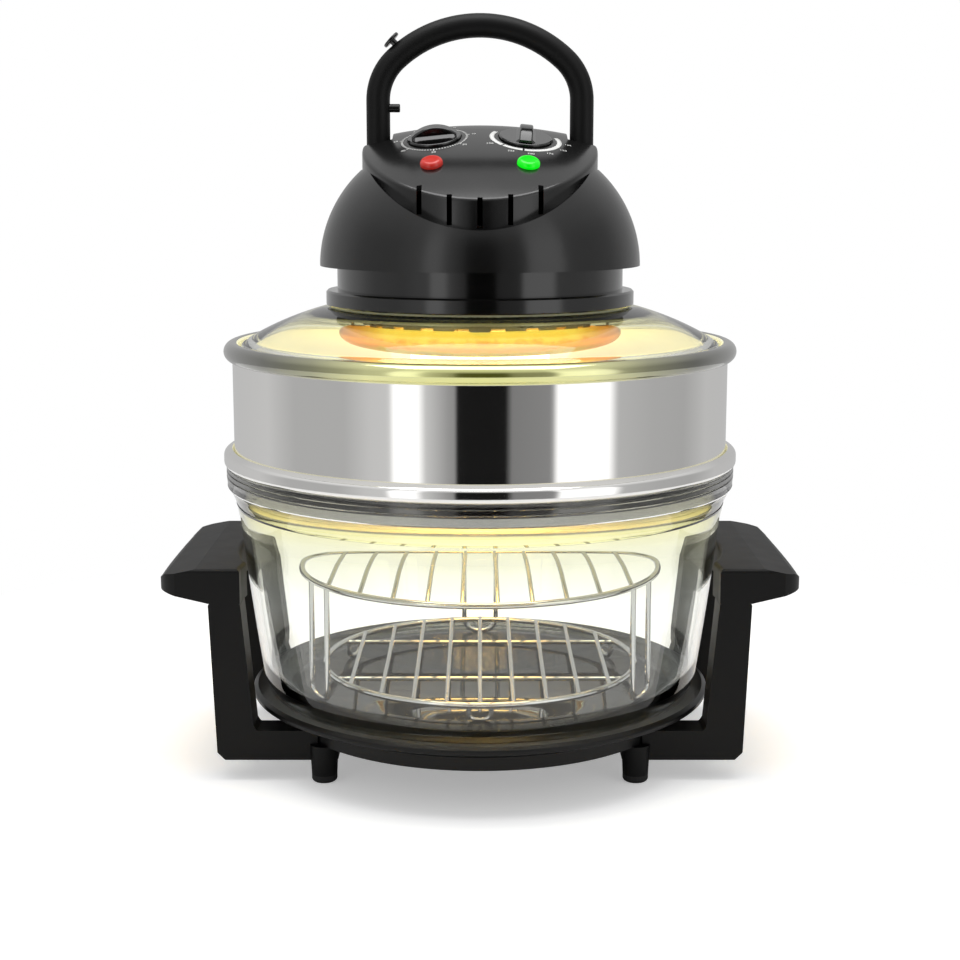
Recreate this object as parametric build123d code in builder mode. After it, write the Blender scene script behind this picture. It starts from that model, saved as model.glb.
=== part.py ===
"""Halogen oven: base tray, glass bowl, steel extender ring, glass lid and a motor and heater head.

Millimetres. The origin is on the floor, on the bowl's axis: +Z up, the controls face -Y, +X to the right.
"""

import os
from math import atan2, cos, degrees, radians, sin, sqrt

from build123d import *

os.makedirs("parts", exist_ok=True)

# ---- driving dimensions ------------------------------------------------------------------------

FIT = 0.05  # radial clearance of a shaft in its bore
SHEET = 1.2  # steel sheet of the extender ring

# Stand
FOOT_HEIGHT = 25.0  # floor to the underside of the tray's band
TRAY_OVERHANG = 27.0  # bowl's foot to the tray's edge
BAND_WALL = 3.0
TRAY_WALL = 3.5
TRAY_SEAT_HEIGHT = 15.0  # band's underside to the face that the bowl stands on
TRAY_LIP_HEIGHT = 7.8  # seat to the top of the rim

# Side frames and grips
FRAME_HALF_DEPTH = 80.0  # middle of the oven to the outer face of a post
POST_DEPTH = 22.0
ARM_BOTTOM = 14.3
ARM_TOP = 34.0
POST_WIDTH = 20.6
POST_DRAFT = 7.0  # how far the post's inner edge leans in, top to bottom
POST_OUTER_DRAFT = 3.6
GRIP_BOTTOM = 118.4
GRIP_THICKNESS = 22.4
GRIP_REACH = 34.7  # a post's outer face to the grip's tip
GRIP_TIP_RISE = 8.6  # the grip's underside, post to tip
GRIP_TIP_DROP = 9.3  # the grip's top, crest to tip
LEG_INSET = 30.0  # tray's band to a leg's middle
LEG_RADIUS = 9.3
LEG_TIP_RADIUS = 8.3
PAD_HEIGHT = 5.0
TENON = 11.0
SCREW_Y = 40.0  # place of the screws that hold a frame to the tray
SCREW_RADIUS = 2.0
SCREW_HEAD_RADIUS = 4.0
SCREW_HEAD_HEIGHT = 3.0

# Glass bowl
BOWL_HEIGHT = 160.0
BOWL_GLASS = 5.0
BOWL_RIM_RADIUS = 169.5
BOWL_RIM_PROUD = 7.5  # rim to the wall just under it
BOWL_TAPER = 13.5  # wall under the rim to the wall just above the bottom corner
BOWL_CORNER = 20.5  # that wall to the foot
BOWL_WAIST_HEIGHT = 22.0
BOWL_RIM_HEIGHT = 13.0
BOWL_FLARE_HEIGHT = 16.0

# Extender ring
RING_HEIGHT = 80.5  # bowl rim to the top of the ring
RING_RIM_PROUD = 5.6  # top rim to the wall
RING_BEAD_PROUD = 1.4  # bead to the bowl's rim
RING_BEAD_HEIGHT = 8.4
RIM_FLAT = 9.4  # width of the top rim
RIM_DROP = 7.6  # top of the rim to the lid's ledge
LEDGE_REACH = 9.0

# Glass lid
LID_GLASS = 4.0
LID_RISE = 29.6  # ledge to the top of the glass
# Head: housing and cover
GASKET = 1.2
SKIRT_RADIUS = 105.5
COLLAR_INSET = 3.8  # skirt to the collar
COLLAR_HEIGHT = 10.0
NECK_INSET = 11.2  # skirt to the neck
NECK_HEIGHT = 15.8
HOUSING_WALL = 3.0
COVER_WALL = 3.0
DOME_LEAN = 27.7  # skirt to the dome's top edge
DOME_HEIGHT = 61.7
POD_HALF_WIDTH = 76.8
POD_HALF_DEPTH = 87.0
POD_CENTRE_Y = -3.0
FACE_FRONT_HEIGHT = 43.6  # skirt to the control face's front edge
FACE_BACK_HEIGHT = 88.5  # skirt to the ridge behind the dials
FACE_BACK_Y = 5.0
FACE_RADIUS = 290.0  # the control face's curve, front to back
FACE_CROWN_RADIUS = 300.0  # its curve, side to side
REAR_RADIUS = 80.0
LEDGE_HEIGHT = 25.2  # skirt to the middle of the ledge under the vents
LEDGE_RADIUS = 88.0  # the ledge's curve, seen from the front
VENT_PITCH = 18.7
VENT_WIDTH = 3.2
VENT_COUNT = 5

# Bail handle
BAIL_BAR_RADIUS = 7.8
BAIL_HALF_WIDTH = 66.9
BAIL_Y = 8.5
PIVOT_HEIGHT = 56.5  # skirt to the pivot
LEG_LENGTH = 50.0
ARCH_RISE = 48.0
ARCH_CORNER_RADIUS = 36.0
PIN_RADIUS = 4.0
STRIKER_DISTANCE = 45.2
STRIKER_RADIUS = 2.75
STRIKER_LENGTH = 6.6
STUD_ANGLE = 128.6  # place of the stud round the arch's crown
STUD_LEAN = 137.0  # direction it points in
STUD_REACH = 3.3
STUD_RADIUS = 6.1
STUD_THICKNESS = 2.2
STUD_STEM_RADIUS = 2.2
BAIL_FOLD = 80.0

# Controls
DIAL_X = 29.5
DIAL_Y = -12.5
DIAL_RECESS_DEPTH = 1.7
KNOB_RADIUS = 17.2
KNOB_RIM_GAP = 0.9  # knob to the edge of its recess
KNOB_DISC_HEIGHT = 2.6
BLADE_LENGTH = 29.0
BLADE_WIDTH = 8.6
BLADE_FLARE = 13.4  # width of the blade's foot
BLADE_HEIGHT = 7.0
SPINDLE_RADIUS = 3.0
LAMP_X = 30.3
LAMP_Y = -52.5
LENS_RADIUS = 7.2
LENS_HEIGHT = 3.8

# Heater and fans
PAN_PROUD = 8.0  # pan to the lid's hole
PAN_HEIGHT = 22.5
LAMP_TUBE_RADIUS = 5.0
SHAFT_RADIUS = 3.0

# Racks
LOW_RACK_HEIGHT = 16.0
HIGH_RACK_HEIGHT = 84.0
WIRE_RADIUS = 2.0

# ---- levels and places worked out from them ----------------------------------------------------

bowl_shoulder_radius = BOWL_RIM_RADIUS - BOWL_RIM_PROUD  # just under the rim
bowl_waist_radius = bowl_shoulder_radius - BOWL_TAPER  # just above the bottom corner
bowl_foot_radius = bowl_waist_radius - BOWL_CORNER
ring_rim_radius = BOWL_RIM_RADIUS + 0.1
ring_wall_radius = ring_rim_radius - RING_RIM_PROUD
ring_bead_radius = BOWL_RIM_RADIUS + RING_BEAD_PROUD
tray_radius = bowl_foot_radius + TRAY_OVERHANG
band_radius = bowl_foot_radius + 3.0
post_inner_x = bowl_shoulder_radius - 8.8
post_outer_x = post_inner_x + POST_WIDTH
grip_tip_x = post_outer_x + GRIP_REACH
grip_top_z = GRIP_BOTTOM + GRIP_THICKNESS
leg_x = band_radius - LEG_INSET
leg_y = FRAME_HALF_DEPTH - 2.0
low_rack_radius = bowl_foot_radius - 22.0
high_rack_radius = bowl_waist_radius - 27.5
collar_radius = SKIRT_RADIUS - COLLAR_INSET
neck_radius = SKIRT_RADIUS - NECK_INSET
lid_hole_radius = neck_radius - 8.3
lid_flat_radius = collar_radius + 1.3
dome_top_radius = SKIRT_RADIUS - DOME_LEAN
shroud_radius = lid_hole_radius - 13.0
pan_radius = lid_hole_radius + PAN_PROUD
lamp_ring_radius = shroud_radius - 17.0
fan_radius = shroud_radius - 15.0
cooling_fan_radius = shroud_radius - 33.0
dial_recess_radius = KNOB_RADIUS + KNOB_RIM_GAP

seat_z = FOOT_HEIGHT + TRAY_SEAT_HEIGHT
lip_z = seat_z + TRAY_LIP_HEIGHT
bowl_rim_z = seat_z + BOWL_HEIGHT
bowl_floor_z = seat_z + BOWL_GLASS + 1.0
ring_top_z = bowl_rim_z + RING_HEIGHT
ledge_z = ring_top_z - RIM_DROP
glass_top_z = ledge_z + LID_RISE
glass_under_z = glass_top_z - LID_GLASS
collar_z = glass_top_z + GASKET
housing_floor_z = collar_z + HOUSING_WALL
neck_z = collar_z + COLLAR_HEIGHT
skirt_z = neck_z + NECK_HEIGHT
dome_top_z = skirt_z + DOME_HEIGHT
pivot_z = skirt_z + PIVOT_HEIGHT
arch_z = pivot_z + LEG_LENGTH
clamp_z = glass_under_z - GASKET - 1.5
clamp_thickness = 1.5


def polar(radius, angle):
    """The point at an angle in degrees on a circle about the origin."""
    return (radius * cos(radians(angle)), radius * sin(radians(angle)))


def export(builder, name):
    """Label a finished piece with its node's name and write its STEP file."""
    builder.part.label = name
    export_step(builder.part, f"parts/{name}.step")


# ---- stand -------------------------------------------------------------------------------------

bowl_corner_radius = bowl_foot_radius + 12.5
bowl_corner_z = seat_z + 6.2
well_radius = bowl_foot_radius + 6.0
lip_radius = bowl_corner_radius + 3.5
frame_screw_places = [(x * leg_x, y * SCREW_Y) for x in (-1, 1) for y in (-1, 1)]

with BuildPart() as base_tray:
    with BuildSketch(Plane.XZ) as tray_section:
        with BuildLine():
            Polyline(
                (0, seat_z),
                (well_radius, seat_z),
                (lip_radius, lip_z - 0.8),
                (tray_radius - 3, lip_z),
                (tray_radius, lip_z - 1.8),
                (tray_radius, lip_z - 4.3),
                (tray_radius - 3, lip_z - 6.0),
                (band_radius + 4, seat_z - TRAY_WALL - 0.5),
                (band_radius, seat_z - TRAY_WALL - 3),
                (band_radius, FOOT_HEIGHT),
                (band_radius - BAND_WALL, FOOT_HEIGHT),
                (band_radius - BAND_WALL, seat_z - TRAY_WALL),
                (0, seat_z - TRAY_WALL),
                close=True,
            )
        make_face()
    revolve(axis=Axis.Z)
    # Stiffening ribs under the floor
    with BuildSketch(Plane.XY.offset(FOOT_HEIGHT + 5)):
        with PolarLocations(0, 6):
            Rectangle(2 * (band_radius - BAND_WALL / 2), 2.4)
        Circle(24)
        Circle(21, mode=Mode.SUBTRACT)
    extrude(amount=seat_z - TRAY_WALL - FOOT_HEIGHT - 5)
    # Bosses that the side frames are screwed to
    with BuildSketch(Plane.XY.offset(FOOT_HEIGHT)):
        with Locations(*frame_screw_places):
            Circle(SCREW_HEAD_RADIUS + 2)
            Circle(SCREW_RADIUS, mode=Mode.SUBTRACT)
    extrude(amount=seat_z - TRAY_WALL - FOOT_HEIGHT)
    fillet(base_tray.edges().filter_by(GeomType.CIRCLE).filter_by(
        lambda edge: edge.radius > tray_radius - 0.1), 0.9)
export(base_tray, "base_tray")

front_face = Plane.XZ.offset(FRAME_HALF_DEPTH)
tongue_x = leg_x - LEG_RADIUS
band_gap = 1.0
foot_socket_radius = 3.2
foot_socket_depth = 6.0
tenon_x = -(post_outer_x + post_inner_x) / 2
tenon_places = [(tenon_x, side * (FRAME_HALF_DEPTH - POST_DEPTH / 2)) for side in (-1, 1)]


def build_frame():
    """The left frame: two posts, two arms that run in under the tray, two legs and the rail between them."""
    with BuildPart() as frame:
        with BuildSketch(front_face):
            with BuildLine():
                Polyline(
                    (-post_outer_x, GRIP_BOTTOM),
                    (-post_outer_x + POST_OUTER_DRAFT, ARM_BOTTOM + 5),
                    (-post_outer_x + POST_OUTER_DRAFT + 5, ARM_BOTTOM),
                    (-tongue_x, ARM_BOTTOM),
                    (-tongue_x, ARM_TOP),
                    (-post_inner_x + POST_DRAFT + 2, ARM_TOP),
                    (-post_inner_x + POST_DRAFT, ARM_TOP + 3),
                    (-post_inner_x, GRIP_BOTTOM),
                    close=True,
                )
            make_face()
        extrude(amount=-POST_DEPTH)
        fillet(frame.edges().filter_by(Axis.Y), 1.5)
        mirror(about=Plane.XZ)
        # Rail under the band that ties the two arms
        with BuildSketch(Plane.XY.offset(ARM_BOTTOM)):
            with Locations((-leg_x, 0)):
                Rectangle(2 * LEG_RADIUS - 4, 2 * FRAME_HALF_DEPTH - POST_DEPTH)
        extrude(amount=FOOT_HEIGHT - ARM_BOTTOM)
        # Nothing of the arms may reach into the tray above them
        with BuildSketch(Plane.XY.offset(FOOT_HEIGHT)):
            Circle(band_radius + band_gap)
        extrude(amount=ARM_TOP, mode=Mode.SUBTRACT)
        # Tapered legs under the arms' inner ends
        for side in (-1, 1):
            with BuildSketch(Plane.XY.offset(PAD_HEIGHT)):
                with Locations((-leg_x, side * leg_y)):
                    Circle(LEG_TIP_RADIUS)
            with BuildSketch(Plane.XY.offset(FOOT_HEIGHT)):
                with Locations((-leg_x, side * leg_y)):
                    Circle(LEG_RADIUS)
            loft()
            with BuildSketch(Plane.XY.offset(PAD_HEIGHT)):
                with Locations((-leg_x, side * leg_y)):
                    Circle(foot_socket_radius)
            extrude(amount=foot_socket_depth, mode=Mode.SUBTRACT)
        # Stepped holes for the screws into the tray's bosses
        with Locations(*[Location((-leg_x, side * SCREW_Y, ARM_BOTTOM), (180, 0, 0)) for side in (-1, 1)]):
            CounterBoreHole(SCREW_RADIUS, SCREW_HEAD_RADIUS, SCREW_HEAD_HEIGHT)
        # Tenons that the grip sits on
        with BuildSketch(Plane.XY.offset(GRIP_BOTTOM)):
            with Locations(*tenon_places):
                Rectangle(TENON, TENON)
        extrude(amount=TENON)
    return frame


left_side_frame = build_frame()
export(left_side_frame, "left_side_frame")
with BuildPart() as right_side_frame:
    add(mirror(left_side_frame.part, about=Plane.YZ, mode=Mode.PRIVATE))
export(right_side_frame, "right_side_frame")

bowl_at_grip = bowl_shoulder_radius - 1.2  # the bowl's outer radius at the grips' height
apron_radius = bowl_at_grip + 0.9
apron_end_y = 56.0
grip_bow = 3.0

with BuildPart() as left_grip:
    with BuildSketch(Plane.XZ.offset(FRAME_HALF_DEPTH)):
        with BuildLine():
            Polyline(
                (-post_inner_x + 12, GRIP_BOTTOM),
                (-post_outer_x, GRIP_BOTTOM),
                (-grip_tip_x + 3, GRIP_BOTTOM + GRIP_TIP_RISE - 1),
                (-grip_tip_x, GRIP_BOTTOM + GRIP_TIP_RISE + 1.4),
                (-grip_tip_x, grip_top_z - GRIP_TIP_DROP - 1),
                (-grip_tip_x + 7, grip_top_z - 4),
                (-grip_tip_x + 27, grip_top_z),
                (-post_inner_x + 12, grip_top_z),
                close=True,
            )
        make_face()
    extrude(amount=-2 * FRAME_HALF_DEPTH)
    # Plan of the grip: bowed outside, hollow inside where the bowl stands
    with BuildSketch(Plane.XY.offset(GRIP_BOTTOM - 1)):
        with BuildLine():
            inner_end = -sqrt(apron_radius**2 - apron_end_y**2)
            tip = -grip_tip_x
            Polyline(
                (inner_end, -apron_end_y),
                (-post_inner_x, -FRAME_HALF_DEPTH + 8),
                (-post_inner_x, -FRAME_HALF_DEPTH),
                (tip + 14, -FRAME_HALF_DEPTH),
            )
            ThreePointArc(
                (tip + 14, -FRAME_HALF_DEPTH), (tip + 5.6, -FRAME_HALF_DEPTH + 6.5),
                (tip + grip_bow, -FRAME_HALF_DEPTH + 20),
            )
            ThreePointArc(
                (tip + grip_bow, -FRAME_HALF_DEPTH + 20), (tip, 0), (tip + grip_bow, FRAME_HALF_DEPTH - 20)
            )
            ThreePointArc(
                (tip + grip_bow, FRAME_HALF_DEPTH - 20), (tip + 5.6, FRAME_HALF_DEPTH - 6.5),
                (tip + 14, FRAME_HALF_DEPTH),
            )
            Polyline(
                (tip + 14, FRAME_HALF_DEPTH),
                (-post_inner_x, FRAME_HALF_DEPTH),
                (-post_inner_x, FRAME_HALF_DEPTH - 8),
                (inner_end, apron_end_y),
            )
            ThreePointArc((inner_end, apron_end_y), (-apron_radius, 0), (inner_end, -apron_end_y))
        make_face()
    extrude(amount=grip_top_z - GRIP_BOTTOM + 2, mode=Mode.INTERSECT)
    fillet(left_grip.faces().sort_by(Axis.Z)[-1].edges(), 2.5)
    with BuildSketch(Plane.XY.offset(GRIP_BOTTOM)):
        with Locations(*tenon_places):
            Rectangle(TENON, TENON)
    extrude(amount=TENON, mode=Mode.SUBTRACT)
export(left_grip, "left_grip")
with BuildPart() as right_grip:
    add(mirror(left_grip.part, about=Plane.YZ, mode=Mode.PRIVATE))
export(right_grip, "right_grip")

leg_places = [(x * leg_x, y * leg_y) for x in (-1, 1) for y in (-1, 1)]

with BuildPart() as foot_pads:
    with BuildSketch():
        with Locations(*leg_places):
            Circle(LEG_TIP_RADIUS)
    extrude(amount=PAD_HEIGHT)
    fillet(foot_pads.edges().group_by(Axis.Z)[0], 2.5)
    with BuildSketch(Plane.XY.offset(PAD_HEIGHT)):
        with Locations(*leg_places):
            Circle(foot_socket_radius)
    extrude(amount=foot_socket_depth - 1)
export(foot_pads, "foot_pads")

frame_screw_length = seat_z - TRAY_WALL - ARM_BOTTOM - SCREW_HEAD_HEIGHT - 2

with BuildPart() as frame_screws:
    with BuildSketch(Plane.XY.offset(ARM_BOTTOM + 0.5)):
        with Locations(*frame_screw_places):
            Circle(SCREW_HEAD_RADIUS)
    extrude(amount=SCREW_HEAD_HEIGHT - 0.5)
    with BuildSketch(Plane.XY.offset(ARM_BOTTOM + SCREW_HEAD_HEIGHT)):
        with Locations(*frame_screw_places):
            Circle(SCREW_RADIUS)
    extrude(amount=frame_screw_length)
export(frame_screws, "frame_screws")

# ---- glass bowl --------------------------------------------------------------------------------

waist_z = seat_z + BOWL_WAIST_HEIGHT
flare_z = bowl_rim_z - BOWL_RIM_HEIGHT - BOWL_FLARE_HEIGHT
belly_z = (waist_z + flare_z) / 2
belly_radius = (bowl_waist_radius + bowl_shoulder_radius) / 2 + 0.6
rim_groove_heights = (3.4, 7.0)

with BuildPart() as glass_bowl:
    with BuildSketch(Plane.XZ):
        with BuildLine():
            Line((0, seat_z), (bowl_foot_radius, seat_z))
            ThreePointArc(
                (bowl_foot_radius, seat_z), (bowl_corner_radius, bowl_corner_z), (bowl_waist_radius, waist_z)
            )
            ThreePointArc(
                (bowl_waist_radius, waist_z), (belly_radius, belly_z), (bowl_shoulder_radius, flare_z)
            )
            Polyline(
                (bowl_shoulder_radius, flare_z),
                (bowl_shoulder_radius + 2.4, flare_z + 7),
                (BOWL_RIM_RADIUS - 2, flare_z + 13),
                (BOWL_RIM_RADIUS, bowl_rim_z - BOWL_RIM_HEIGHT),
                (BOWL_RIM_RADIUS, bowl_rim_z),
                (bowl_shoulder_radius - BOWL_GLASS, bowl_rim_z),
                (bowl_shoulder_radius - BOWL_GLASS, flare_z),
            )
            ThreePointArc(
                (bowl_shoulder_radius - BOWL_GLASS, flare_z),
                (belly_radius - BOWL_GLASS, belly_z),
                (bowl_waist_radius - BOWL_GLASS, waist_z + 1),
            )
            ThreePointArc(
                (bowl_waist_radius - BOWL_GLASS, waist_z + 1),
                (bowl_corner_radius - BOWL_GLASS, bowl_corner_z + BOWL_GLASS),
                (bowl_foot_radius - 1, bowl_floor_z),
            )
            Polyline((bowl_foot_radius - 1, bowl_floor_z), (0, bowl_floor_z), (0, seat_z))
        make_face()
    revolve(axis=Axis.Z)
    fillet(glass_bowl.faces().filter_by(Plane.XY).sort_by(Axis.Z)[-1].edges(), 1.0)
    # Two fine grooves round the rim
    with BuildSketch(Plane.XZ):
        for drop in rim_groove_heights:
            with Locations((BOWL_RIM_RADIUS, bowl_rim_z - drop)):
                Rectangle(1.4, 1.2)
    revolve(axis=Axis.Z, mode=Mode.SUBTRACT)
export(glass_bowl, "glass_bowl")

# ---- steel extender ring -----------------------------------------------------------------------

half = SHEET / 2
wall_line = ring_wall_radius - half
rim_line = ring_rim_radius - half
bead_line = ring_bead_radius - half
drop_line = rim_line - RIM_FLAT + SHEET
spigot_radius = bowl_shoulder_radius - BOWL_GLASS - 0.6
spigot_length = 10.0

with BuildPart() as extender_ring:
    with BuildSketch(Plane.XZ):
        # Wall, rolled top rim and the ledge that the lid rests on
        with BuildLine():
            FilletPolyline(
                (wall_line, bowl_rim_z + half),
                (wall_line, ring_top_z - 15.0),
                (rim_line, ring_top_z - 10.5),
                (rim_line, ring_top_z - half),
                (drop_line, ring_top_z - half),
                (drop_line, ledge_z - half),
                (drop_line - LEDGE_REACH, ledge_z - half),
                radius=1.4,
            )
            offset(amount=half, side=Side.BOTH)
        make_face()
    revolve(axis=Axis.Z)
    with BuildSketch(Plane.XZ):
        # Foot that rests on the bowl's rim and curls up into a bead
        with BuildLine():
            FilletPolyline(
                (wall_line - 4, bowl_rim_z + half),
                (bead_line, bowl_rim_z + half),
                (bead_line, bowl_rim_z + RING_BEAD_HEIGHT - half),
                (ring_wall_radius + SHEET, bowl_rim_z + RING_BEAD_HEIGHT + 1.6),
                radius=1.6,
            )
            offset(amount=half, side=Side.BOTH)
        make_face()
        # Spigot that centres the ring in the bowl
        with Locations((spigot_radius - half, bowl_rim_z + SHEET)):
            Rectangle(SHEET, spigot_length + SHEET, align=(Align.CENTER, Align.MAX))
        with Locations((spigot_radius - SHEET, bowl_rim_z)):
            Rectangle(wall_line - spigot_radius + SHEET, SHEET, align=(Align.MIN, Align.MIN))
    revolve(axis=Axis.Z)
export(extender_ring, "extender_ring")

# ---- glass lid and what clamps it --------------------------------------------------------------

ledge_outer = drop_line - half
lid_radius = ledge_outer - 0.8
lid_seat_width = 6.0
lid_edge_height = 4.2

with BuildPart() as lid_glass:
    with BuildSketch(Plane.XZ):
        with BuildLine():
            Line((lid_hole_radius, glass_top_z), (lid_flat_radius, glass_top_z))
            ThreePointArc(
                (lid_flat_radius, glass_top_z),
                (lid_radius - 25, ledge_z + 18.6),
                (lid_radius - 3, ledge_z + lid_edge_height + 3),
            )
            Polyline(
                (lid_radius - 3, ledge_z + lid_edge_height + 3),
                (lid_radius, ledge_z + lid_edge_height),
                (lid_radius, ledge_z),
                (lid_radius - lid_seat_width, ledge_z),
            )
            ThreePointArc(
                (lid_radius - lid_seat_width, ledge_z),
                (lid_radius - 27, ledge_z + 18.6 - LID_GLASS + 0.4),
                (lid_flat_radius - 1, glass_under_z),
            )
            Polyline(
                (lid_flat_radius - 1, glass_under_z), (lid_hole_radius, glass_under_z), (lid_hole_radius, glass_top_z)
            )
        make_face()
    revolve(axis=Axis.Z)
export(lid_glass, "lid_glass")

with BuildPart() as glass_gaskets:
    with BuildSketch(Plane.XZ):
        with Locations((lid_hole_radius + 2, glass_top_z), (lid_hole_radius + 2, glass_under_z - GASKET)):
            Rectangle(collar_radius - lid_hole_radius - 5, GASKET, align=(Align.MIN, Align.MIN))
    revolve(axis=Axis.Z)
export(glass_gaskets, "glass_gaskets")

# ---- head: shape of the cover ------------------------------------------------------------------

pod_front_y = POD_CENTRE_Y - POD_HALF_DEPTH
pod_rear_y = POD_CENTRE_Y + POD_HALF_DEPTH
face_front_z = skirt_z + FACE_FRONT_HEIGHT
face_back_z = skirt_z + FACE_BACK_HEIGHT
face_axis_z = face_back_z - FACE_CROWN_RADIUS
skirt_straight = 2.5
dome_mid_radius = SKIRT_RADIUS - 6.6
dome_mid_z = skirt_z + skirt_straight + 0.5 * (DOME_HEIGHT - skirt_straight)
pocket_x = BAIL_HALF_WIDTH - BAIL_BAR_RADIUS - 1.7
pocket_y = BAIL_Y - BAIL_BAR_RADIUS - 0.9
pocket_z = pivot_z - BAIL_BAR_RADIUS - 2.9
pod_floor_z = skirt_z + DOME_HEIGHT / 3
ledge_axis_z = skirt_z + LEDGE_HEIGHT + LEDGE_RADIUS
reach = 140.0  # well past the head on every side


def arc_centre(start, end, radius):
    """Centre of the arc of a radius from start to end that bulges up and to the left."""
    run, rise = end[0] - start[0], end[1] - start[1]
    chord = sqrt(run**2 + rise**2)
    height = sqrt(radius**2 - chord**2 / 4)
    return ((start[0] + end[0]) / 2 + height * rise / chord, (start[1] + end[1]) / 2 - height * run / chord)


def circle_through(first, second, third):
    """Centre and radius of the circle through three points."""
    (ax, ay), (bx, by), (cx, cy) = first, second, third
    twice = 2 * (ax * (by - cy) + bx * (cy - ay) + cx * (ay - by))
    a2, b2, c2 = ax**2 + ay**2, bx**2 + by**2, cx**2 + cy**2
    x = (a2 * (by - cy) + b2 * (cy - ay) + c2 * (ay - by)) / twice
    y = (a2 * (cx - bx) + b2 * (ax - cx) + c2 * (bx - ax)) / twice
    return (x, y), sqrt((ax - x) ** 2 + (ay - y) ** 2)


def on_circle(centre, radius, point):
    """The point at a radius from a centre, in the direction of another point."""
    run, rise = point[0] - centre[0], point[1] - centre[1]
    scale_to = radius / sqrt(run**2 + rise**2)
    return (centre[0] + run * scale_to, centre[1] + rise * scale_to)


face_centre = arc_centre((pod_front_y, face_front_z), (FACE_BACK_Y, face_back_z), FACE_RADIUS)
rear_centre = on_circle(face_centre, FACE_RADIUS - REAR_RADIUS, (FACE_BACK_Y, face_back_z))
dome_low = (SKIRT_RADIUS, skirt_z + skirt_straight)
dome_mid = (dome_mid_radius, dome_mid_z)
dome_high = (dome_top_radius, dome_top_z)
dome_centre, dome_radius = circle_through(dome_low, dome_mid, dome_high)
crown_turn = 60.0
crown_up = polar(1, 90 + crown_turn)
crown_start = Plane(
    origin=(-face_axis_z * crown_up[0], 0, face_axis_z * (1 - crown_up[1])),
    x_dir=(0, 1, 0),
    z_dir=(crown_up[1], 0, -crown_up[0]),
)
dome_start = Plane(origin=(0, 0, 0), x_dir=(*polar(1, 60), 0), z_dir=(*polar(1, -30), 0))


def face_profile_z(y):
    """Height of the control face above the middle line."""
    return face_centre[1] + sqrt(FACE_RADIUS**2 - (y - face_centre[0]) ** 2)


def face_plane(x, y, turn=0.0):
    """Plane on the control face at x and y: +Z outwards, +X to the oven's right, turned about +Z."""
    profile = face_profile_z(y)
    crown = profile - face_axis_z
    z = face_axis_z + sqrt(crown**2 - x**2)
    slope = (face_centre[0] - y) / (profile - face_centre[1])
    normal = Vector(x / crown, -slope, (z - face_axis_z) / crown).normalized()
    across = Vector(0, 1, 0).cross(normal).normalized()
    along = normal.cross(across)
    x_dir = across * cos(radians(turn)) + along * sin(radians(turn))
    return Plane(origin=(x, y, z), x_dir=x_dir, z_dir=normal)


def cover_solid(inset):
    """The head's outer shape, moved in by an inset: dome, pod on it, ledge under the vents, leg pockets."""
    ridge = on_circle(face_centre, FACE_RADIUS - inset, (FACE_BACK_Y, face_back_z))
    face_radius = FACE_RADIUS - inset
    rear_radius = REAR_RADIUS - inset
    front = (pod_front_y - 8, face_centre[1] + sqrt(face_radius**2 - (pod_front_y - 8 - face_centre[0]) ** 2))
    between = on_circle(face_centre, face_radius, ((front[0] + ridge[0]) / 2, (front[1] + ridge[1]) / 2))
    rear = (rear_centre[0] + rear_radius * cos(radians(4)), rear_centre[1] + rear_radius * sin(radians(4)))
    over = (rear_centre[0] + rear_radius * cos(radians(50)), rear_centre[1] + rear_radius * sin(radians(50)))
    floor_z = skirt_z + inset
    low_z = floor_z + skirt_straight
    inner_low = (dome_centre[0] + sqrt((dome_radius - inset) ** 2 - (low_z - dome_centre[1]) ** 2), low_z)
    inner_mid = on_circle(dome_centre, dome_radius - inset, dome_mid)
    inner_high = on_circle(dome_centre, dome_radius - inset, dome_high)
    with BuildPart() as dome:
        with BuildSketch(dome_start):
            with BuildLine():
                Polyline((0, floor_z), (inner_low[0], floor_z), inner_low)
                ThreePointArc(inner_low, inner_mid, inner_high)
                Polyline(inner_high, (0, inner_high[1]), (0, floor_z))
            make_face()
        revolve(axis=Axis.Z)
        # The trough in front of the vents; its floor is the ledge under them
        with BuildSketch(Plane.XZ.offset(-POD_CENTRE_Y)):
            with Locations((0, ledge_axis_z)):
                Circle(LEDGE_RADIUS + inset)
        extrude(amount=reach, mode=Mode.SUBTRACT)
    with BuildPart() as shape:
        with BuildSketch(Plane.XY.offset(pod_floor_z)):
            with Locations((0, POD_CENTRE_Y)):
                Ellipse(POD_HALF_WIDTH - inset, POD_HALF_DEPTH - inset)
        extrude(amount=reach)
        with BuildSketch(crown_start):
            with BuildLine():
                Line((front[0], face_axis_z + 10), front)
                ThreePointArc(front, between, ridge)
                ThreePointArc(ridge, over, rear)
                Polyline(rear, (rear[0], face_axis_z + 10), (front[0], face_axis_z + 10))
            make_face()
        revolve(axis=Axis((0, 0, face_axis_z), (0, 1, 0)), revolution_arc=2 * crown_turn, mode=Mode.INTERSECT)
        if inset == 0:
            rim = shape.edges().filter_by(lambda edge: edge.center().Z > skirt_z + FACE_FRONT_HEIGHT / 2)
            fillet(rim.filter_by(lambda edge: edge.geom_type not in (GeomType.LINE, GeomType.CIRCLE)), 3.0)
        add(dome.part)
        with BuildSketch(Plane.XY.offset(pocket_z - inset)):
            for side in (-1, 1):
                with Locations((side * (pocket_x - inset), pocket_y - inset)):
                    Rectangle(reach, reach, align=(Align.MIN if side > 0 else Align.MAX, Align.MIN))
        extrude(amount=reach, mode=Mode.SUBTRACT)
    return shape.part


# ---- head: where things stand in it ------------------------------------------------------------

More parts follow.
